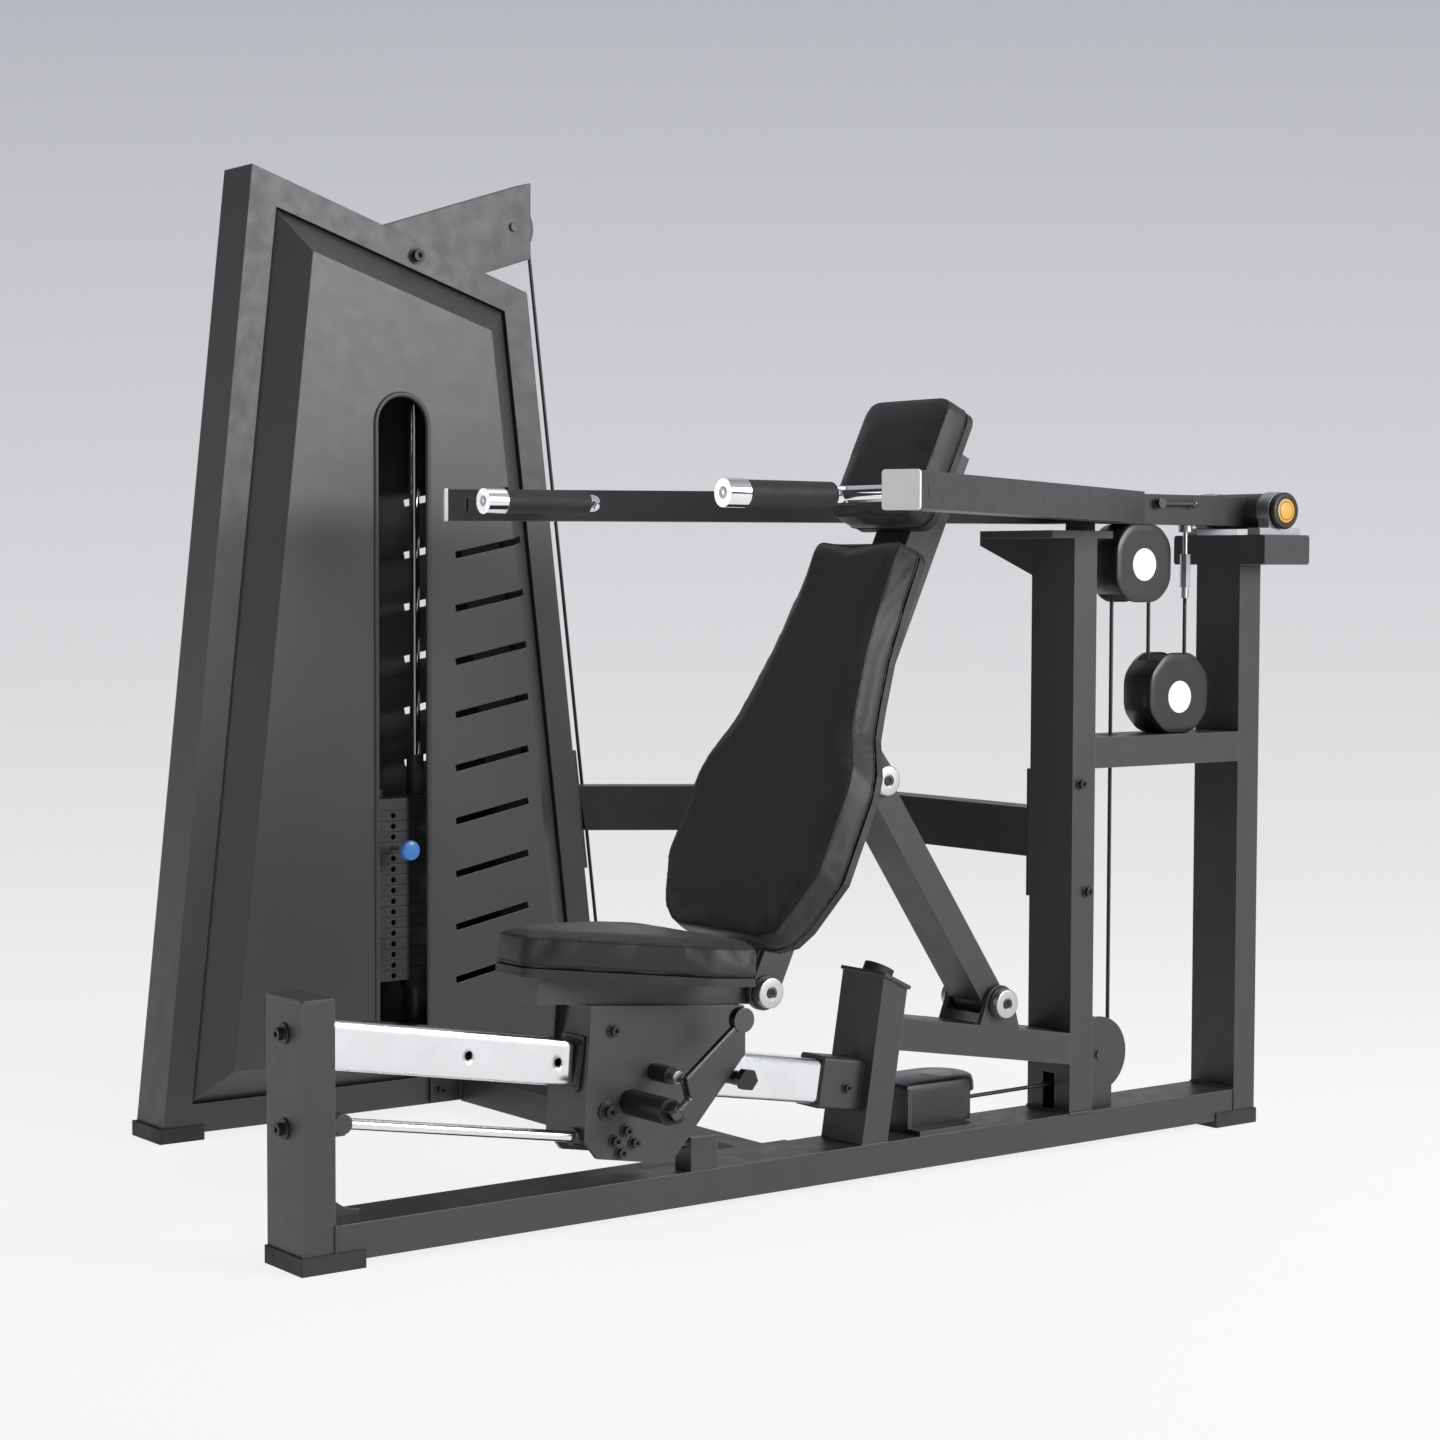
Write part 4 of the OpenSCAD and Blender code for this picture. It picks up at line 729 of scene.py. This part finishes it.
def cut_rect(width, low, high, cut):
    """Outline in X and Z of a plate with cut corners."""
    w = width / 2
    corners = [(cut - w, low), (w - cut, low), (w, low + cut), (w, high - cut),
               (w - cut, high), (cut - w, high), (-w, high - cut), (-w, low + cut)]
    return [Vector((x, 0, z)) for x, z in corners]


def shell(name, centre, outline, half, body, material, is_open):
    """A moulded guard: two plates with rolled edges joined by a band that leaves an opening for the cable."""
    loop = fillet(outline, CORNER)
    middle = sum(loop, Vector()) / len(loop)
    steps = [(0.80, half), (0.965, half), (0.985, half - 0.0008), (1.0, half - 0.0035)]
    bm = bmesh.new()
    for side in (-1, 1):
        rings = []
        for scale, depth in steps:
            shift = centre + middle + Y * side * depth
            rings.append([bm.verts.new(shift + (p - middle) * scale) for p in loop])
        bm.faces.new(rings[0])
        for inner, outer in zip(rings, rings[1:]):
            for i in range(len(loop)):
                j = (i + 1) % len(loop)
                bm.faces.new((inner[i], inner[j], outer[j], outer[i]))
        if side < 0:
            near = rings[-1]
        else:
            far = rings[-1]
    for i in range(len(loop)):
        j = (i + 1) % len(loop)
        if not is_open((loop[i] + loop[j]) / 2):
            bm.faces.new((near[i], near[j], far[j], far[i]))
    bmesh.ops.recalc_face_normals(bm, faces=bm.faces)
    mesh = bpy.data.meshes.new(name)
    bm.to_mesh(mesh)
    bm.free()
    obj = add_object(name, mesh, material, None)
    thick = obj.modifiers.new("Thick", "SOLIDIFY")
    thick.thickness = 0.0024
    thick.offset = -1
    final = bpy.data.meshes.new_from_object(obj.evaluated_get(bpy.context.evaluated_depsgraph_get()))
    obj.modifiers.clear()
    obj.data = final
    set_sharp(final, math.radians(40))
    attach(obj, body)
    return obj


def label_disc(name, point, direction, radius, body):
    """A blank printed disc on a guard."""
    piece = lathe(name, rounded(0.5, radius, 0.0, 0.6, 0.25), aim(point, direction), LABEL, body)


def build_guards():
    arm_pulley, cross = joint_point("arm_pulley_spin"), joint_point("cross_pulley_spin")
    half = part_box("arm_pulley_guard")[1].y - 4 * MM
    reach = 0.0625
    under_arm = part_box("press_arm")[0].z + 0.0052
    outline = cut_rect(0.127, -reach, under_arm - arm_pulley.z, 0.030)
    guard = shell("arm_guard_shell", arm_pulley, outline, half, "arm", GLOSS, lambda p: p.z < -reach + 0.012)
    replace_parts(guard, "arm_pulley_guard")
    floor_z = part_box("cross_member")[1].z
    outline = cut_rect(0.138, floor_z - cross.z, 0.074, 0.036)
    guard = shell("cross_guard_shell", cross, outline, half, "frame", GLOSS, lambda p: p.z > 0.062)
    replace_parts(guard, "pulley_guards")
    for side, tag in ((-1, "near"), (1, "far")):
        offset = Y * side * half
        label_disc(f"arm_guard_label_{tag}", arm_pulley + offset, offset, 27, "arm")
        label_disc(f"cross_guard_label_{tag}", cross + offset, offset, 27, "frame")
    build_floor_cover()


def build_floor_cover():
    """A rounded hood over the horizontal pulley, with a blank label on top."""
    centre = joint_point("floor_pulley_spin")
    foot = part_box("pulley_guards")[0].z
    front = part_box("floor_pulley")[0].x - 64 * MM - centre.x
    loop = [Vector((front, -0.058, 0)), Vector((front, 0.058, 0))]
    for i in range(17):
        a = math.pi / 2 - math.pi * i / 16
        loop.append(Vector((0.060 * math.cos(a), 0.060 * math.sin(a), 0)))
    base = centre.copy()
    base.z = 0
    levels = [(1.0, foot), (1.0, HOOD_TOP - 0.024), (0.985, HOOD_TOP - 0.011),
              (0.94, HOOD_TOP - 0.003), (0.84, HOOD_TOP)]
    bm = bmesh.new()
    rings = [[bm.verts.new(base + p * scale + Z * height) for p in loop] for scale, height in levels]
    for low, high in zip(rings, rings[1:]):
        for i in range(len(loop)):
            j = (i + 1) % len(loop)
            middle = (loop[i] + loop[j]) / 2
            near_wall = middle.y < -0.035 and middle.x < 0.02
            if low is rings[0] and not near_wall:
                continue
            bm.faces.new((low[i], low[j], high[j], high[i]))
    bm.faces.new(rings[-1])
    bmesh.ops.recalc_face_normals(bm, faces=bm.faces)
    mesh = bpy.data.meshes.new("floor_pulley_hood")
    bm.to_mesh(mesh)
    bm.free()
    obj = add_object("floor_pulley_hood", mesh, GLOSS, None)
    thick = obj.modifiers.new("Thick", "SOLIDIFY")
    thick.thickness = 0.002
    thick.offset = -1
    final = bpy.data.meshes.new_from_object(obj.evaluated_get(bpy.context.evaluated_depsgraph_get()))
    obj.modifiers.clear()
    obj.data = final
    set_sharp(final, math.radians(40))
    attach(obj, "frame")
    label_disc("floor_guard_label", Vector((centre.x, centre.y, HOOD_TOP)), Z, 27, "frame")


# ---- tower details ----

WINDOW_HALF = 0.051
WINDOW_LOW = 0.150
WINDOW_ARC = 1.191


def build_window_rim():
    """Rolled edge round the shroud's window."""
    x = node_centre("selector_pin").x
    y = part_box("front_shroud")[0].y
    loop = [Vector((x - WINDOW_HALF, y, WINDOW_LOW)), Vector((x + WINDOW_HALF, y, WINDOW_LOW))]
    for i in range(25):
        a = math.pi * i / 24
        loop.append(Vector((x + WINDOW_HALF * math.cos(a), y, WINDOW_ARC + WINDOW_HALF * math.sin(a))))
    rim = sweep("window_rim", resample(loop, 0.008), 0.0045, SHROUD, "frame", closed=True)


def weld(name, corners, body, size=0.003):
    """A fillet weld along a closed line of corner points, with small ripples."""
    line = resample(corners, 0.003)
    bead = sweep(name, line, size, GREY, body, closed=True, sides=8)
    mesh = bead.data
    for v in mesh.vertices:
        ring = v.index // 8
        v.co += (v.co - line[ring]) * 0.18 * math.sin(ring * 2.1)


def build_welds():
    """Welds where the beam meets both end posts and where the front upright stands on it."""
    low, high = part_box("main_beam")
    half = high.y
    for name, x in (("front_post", low.x), ("rear_upright", high.x)):
        corners = [(x, -half, low.z), (x, half, low.z), (x, half, high.z), (x, -half, high.z)]
        weld("weld_" + name, [Vector(p) for p in corners], "frame")
    x1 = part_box("cross_member")[0].x
    x0 = x1 - 50 * MM
    corners = [(x0, -half, high.z), (x1, -half, high.z), (x1, half, high.z), (x0, half, high.z)]
    weld("weld_front_upright", [Vector(p) for p in corners], "frame")


# ---- stage ----

def backdrop_material():
    """Pale studio paper: grey at the top of the picture, white from the horizon down."""
    n = Nodes("studio_paper")
    split = n.add("ShaderNodeSeparateXYZ")
    n.link(n.tree.nodes["Texture Coordinate"].outputs["Window"], split.inputs[0])
    ramp = n.add("ShaderNodeValToRGB")
    stops = ramp.color_ramp.elements
    stops[0].position = 0.22
    stops[0].color = (0.97, 0.97, 0.97, 1)
    stops[1].position = 1.0
    stops[1].color = (0.46, 0.475, 0.52, 1)
    middle = stops.new(0.58)
    middle.color = (0.70, 0.71, 0.73, 1)
    n.link(split.outputs["Y"], ramp.inputs[0])
    n.link(ramp.outputs[0], n.shader.inputs["Emission Color"])
    n.shader.inputs["Emission Strength"].default_value = 0.86
    n.shader.inputs["Base Color"].default_value = (0.14, 0.14, 0.14, 1)
    n.shader.inputs["Roughness"].default_value = 0.9
    n.shader.inputs["Specular IOR Level"].default_value = 0.0
    return n.material


def build_stage():
    """A pale floor that curves up into a backdrop behind the machine."""
    bm = bmesh.new()
    profile = [(-7.0, 0.0), (5.0, 0.0)]
    bend = 3.0
    for i in range(1, 17):
        a = math.pi / 2 * i / 16
        profile.append((5.0 + bend * math.sin(a), bend - bend * math.cos(a)))
    profile.append((8.0, 12.0))
    forward = Vector((0.599, 0.801, 0)).normalized()
    across = Vector((forward.y, -forward.x, 0))
    centre = Vector((0.9, 0.4, -0.0005))
    rows = [[bm.verts.new(centre + forward * d + across * s + Z * h) for s in (-12, 12)] for d, h in profile]
    for a, b in zip(rows, rows[1:]):
        bm.faces.new((a[0], a[1], b[1], b[0]))
    mesh = bpy.data.meshes.new("studio_floor")
    bm.to_mesh(mesh)
    bm.free()
    stage = add_object("studio_floor", mesh, backdrop_material(), None)


def add_light(name, place, target, size, power, spread=math.pi):
    light = bpy.data.lights.new(name, "AREA")
    light.shape = "RECTANGLE"
    light.size, light.size_y = size
    light.energy = power
    light.spread = spread
    obj = bpy.data.objects.new(name, light)
    obj.location = place
    obj.rotation_euler = (Vector(target) - Vector(place)).to_track_quat("-Z", "Y").to_euler()
    bpy.context.scene.collection.objects.link(obj)


def build_world():
    """Soft sky, bright on the side the photo's light comes from and dark on the other."""
    world = bpy.data.worlds.new("studio")
    bpy.context.scene.world = world
    world.use_nodes = True
    tree = world.node_tree
    background = tree.nodes["Background"]
    background.inputs["Color"].default_value = (0.93, 0.95, 1.0, 1)
    coords = tree.nodes.new("ShaderNodeTexCoord")
    facing = tree.nodes.new("ShaderNodeVectorMath")
    facing.operation = "DOT_PRODUCT"
    facing.inputs[1].default_value = (0.62, -0.75, 0.2)
    strength = tree.nodes.new("ShaderNodeMapRange")
    strength.inputs["From Min"].default_value = -0.2
    strength.inputs["From Max"].default_value = 0.9
    strength.inputs["To Min"].default_value = 0.04
    strength.inputs["To Max"].default_value = 0.62
    tree.links.new(coords.outputs["Generated"], facing.inputs[0])
    tree.links.new(facing.outputs["Value"], strength.inputs["Value"])
    tree.links.new(strength.outputs["Result"], background.inputs["Strength"])


def build_lights():
    build_world()
    centre = (0.9, 0.4, 0.7)
    add_light("key", (3.0, -4.2, 2.4), centre, (2.6, 2.6), 205)
    add_light("left_card", (-2.2, 3.4, 1.3), (0.6, 0.0, 0.9), (1.4, 2.4), 14)
    add_light("cap_card", (-3.2, -1.0, 1.1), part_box("arm_end_caps")[0], (1.2, 1.2), 8)
    add_light("top", (0.9, 0.6, 4.6), centre, (4.0, 3.0), 45)


def build_camera():
    camera = bpy.data.cameras.new("camera")
    camera.sensor_width = 36
    camera.lens = 70.96
    camera.clip_end = 100
    obj = bpy.data.objects.new("camera", camera)
    pitch = math.radians(-2.94)
    roll = math.radians(0.176)
    look = Vector((0.599 * math.cos(pitch), 0.801 * math.cos(pitch), math.sin(pitch)))
    turn = look.to_track_quat("-Z", "Y").to_matrix() @ Matrix.Rotation(roll, 3, "Z")
    obj.matrix_world = Matrix.Translation((-1.7966, -3.3768, 0.9378)) @ turn.to_4x4()
    bpy.context.scene.collection.objects.link(obj)
    bpy.context.scene.camera = obj
    bpy.context.scene.view_settings.view_transform = "Standard"


paint_nodes()
build_pads()
build_hinges()
build_cables()
build_grips()
build_pivot_caps()
build_knob()
build_guards()
build_window_rim()
build_welds()
build_stage()
build_lights()
build_camera()
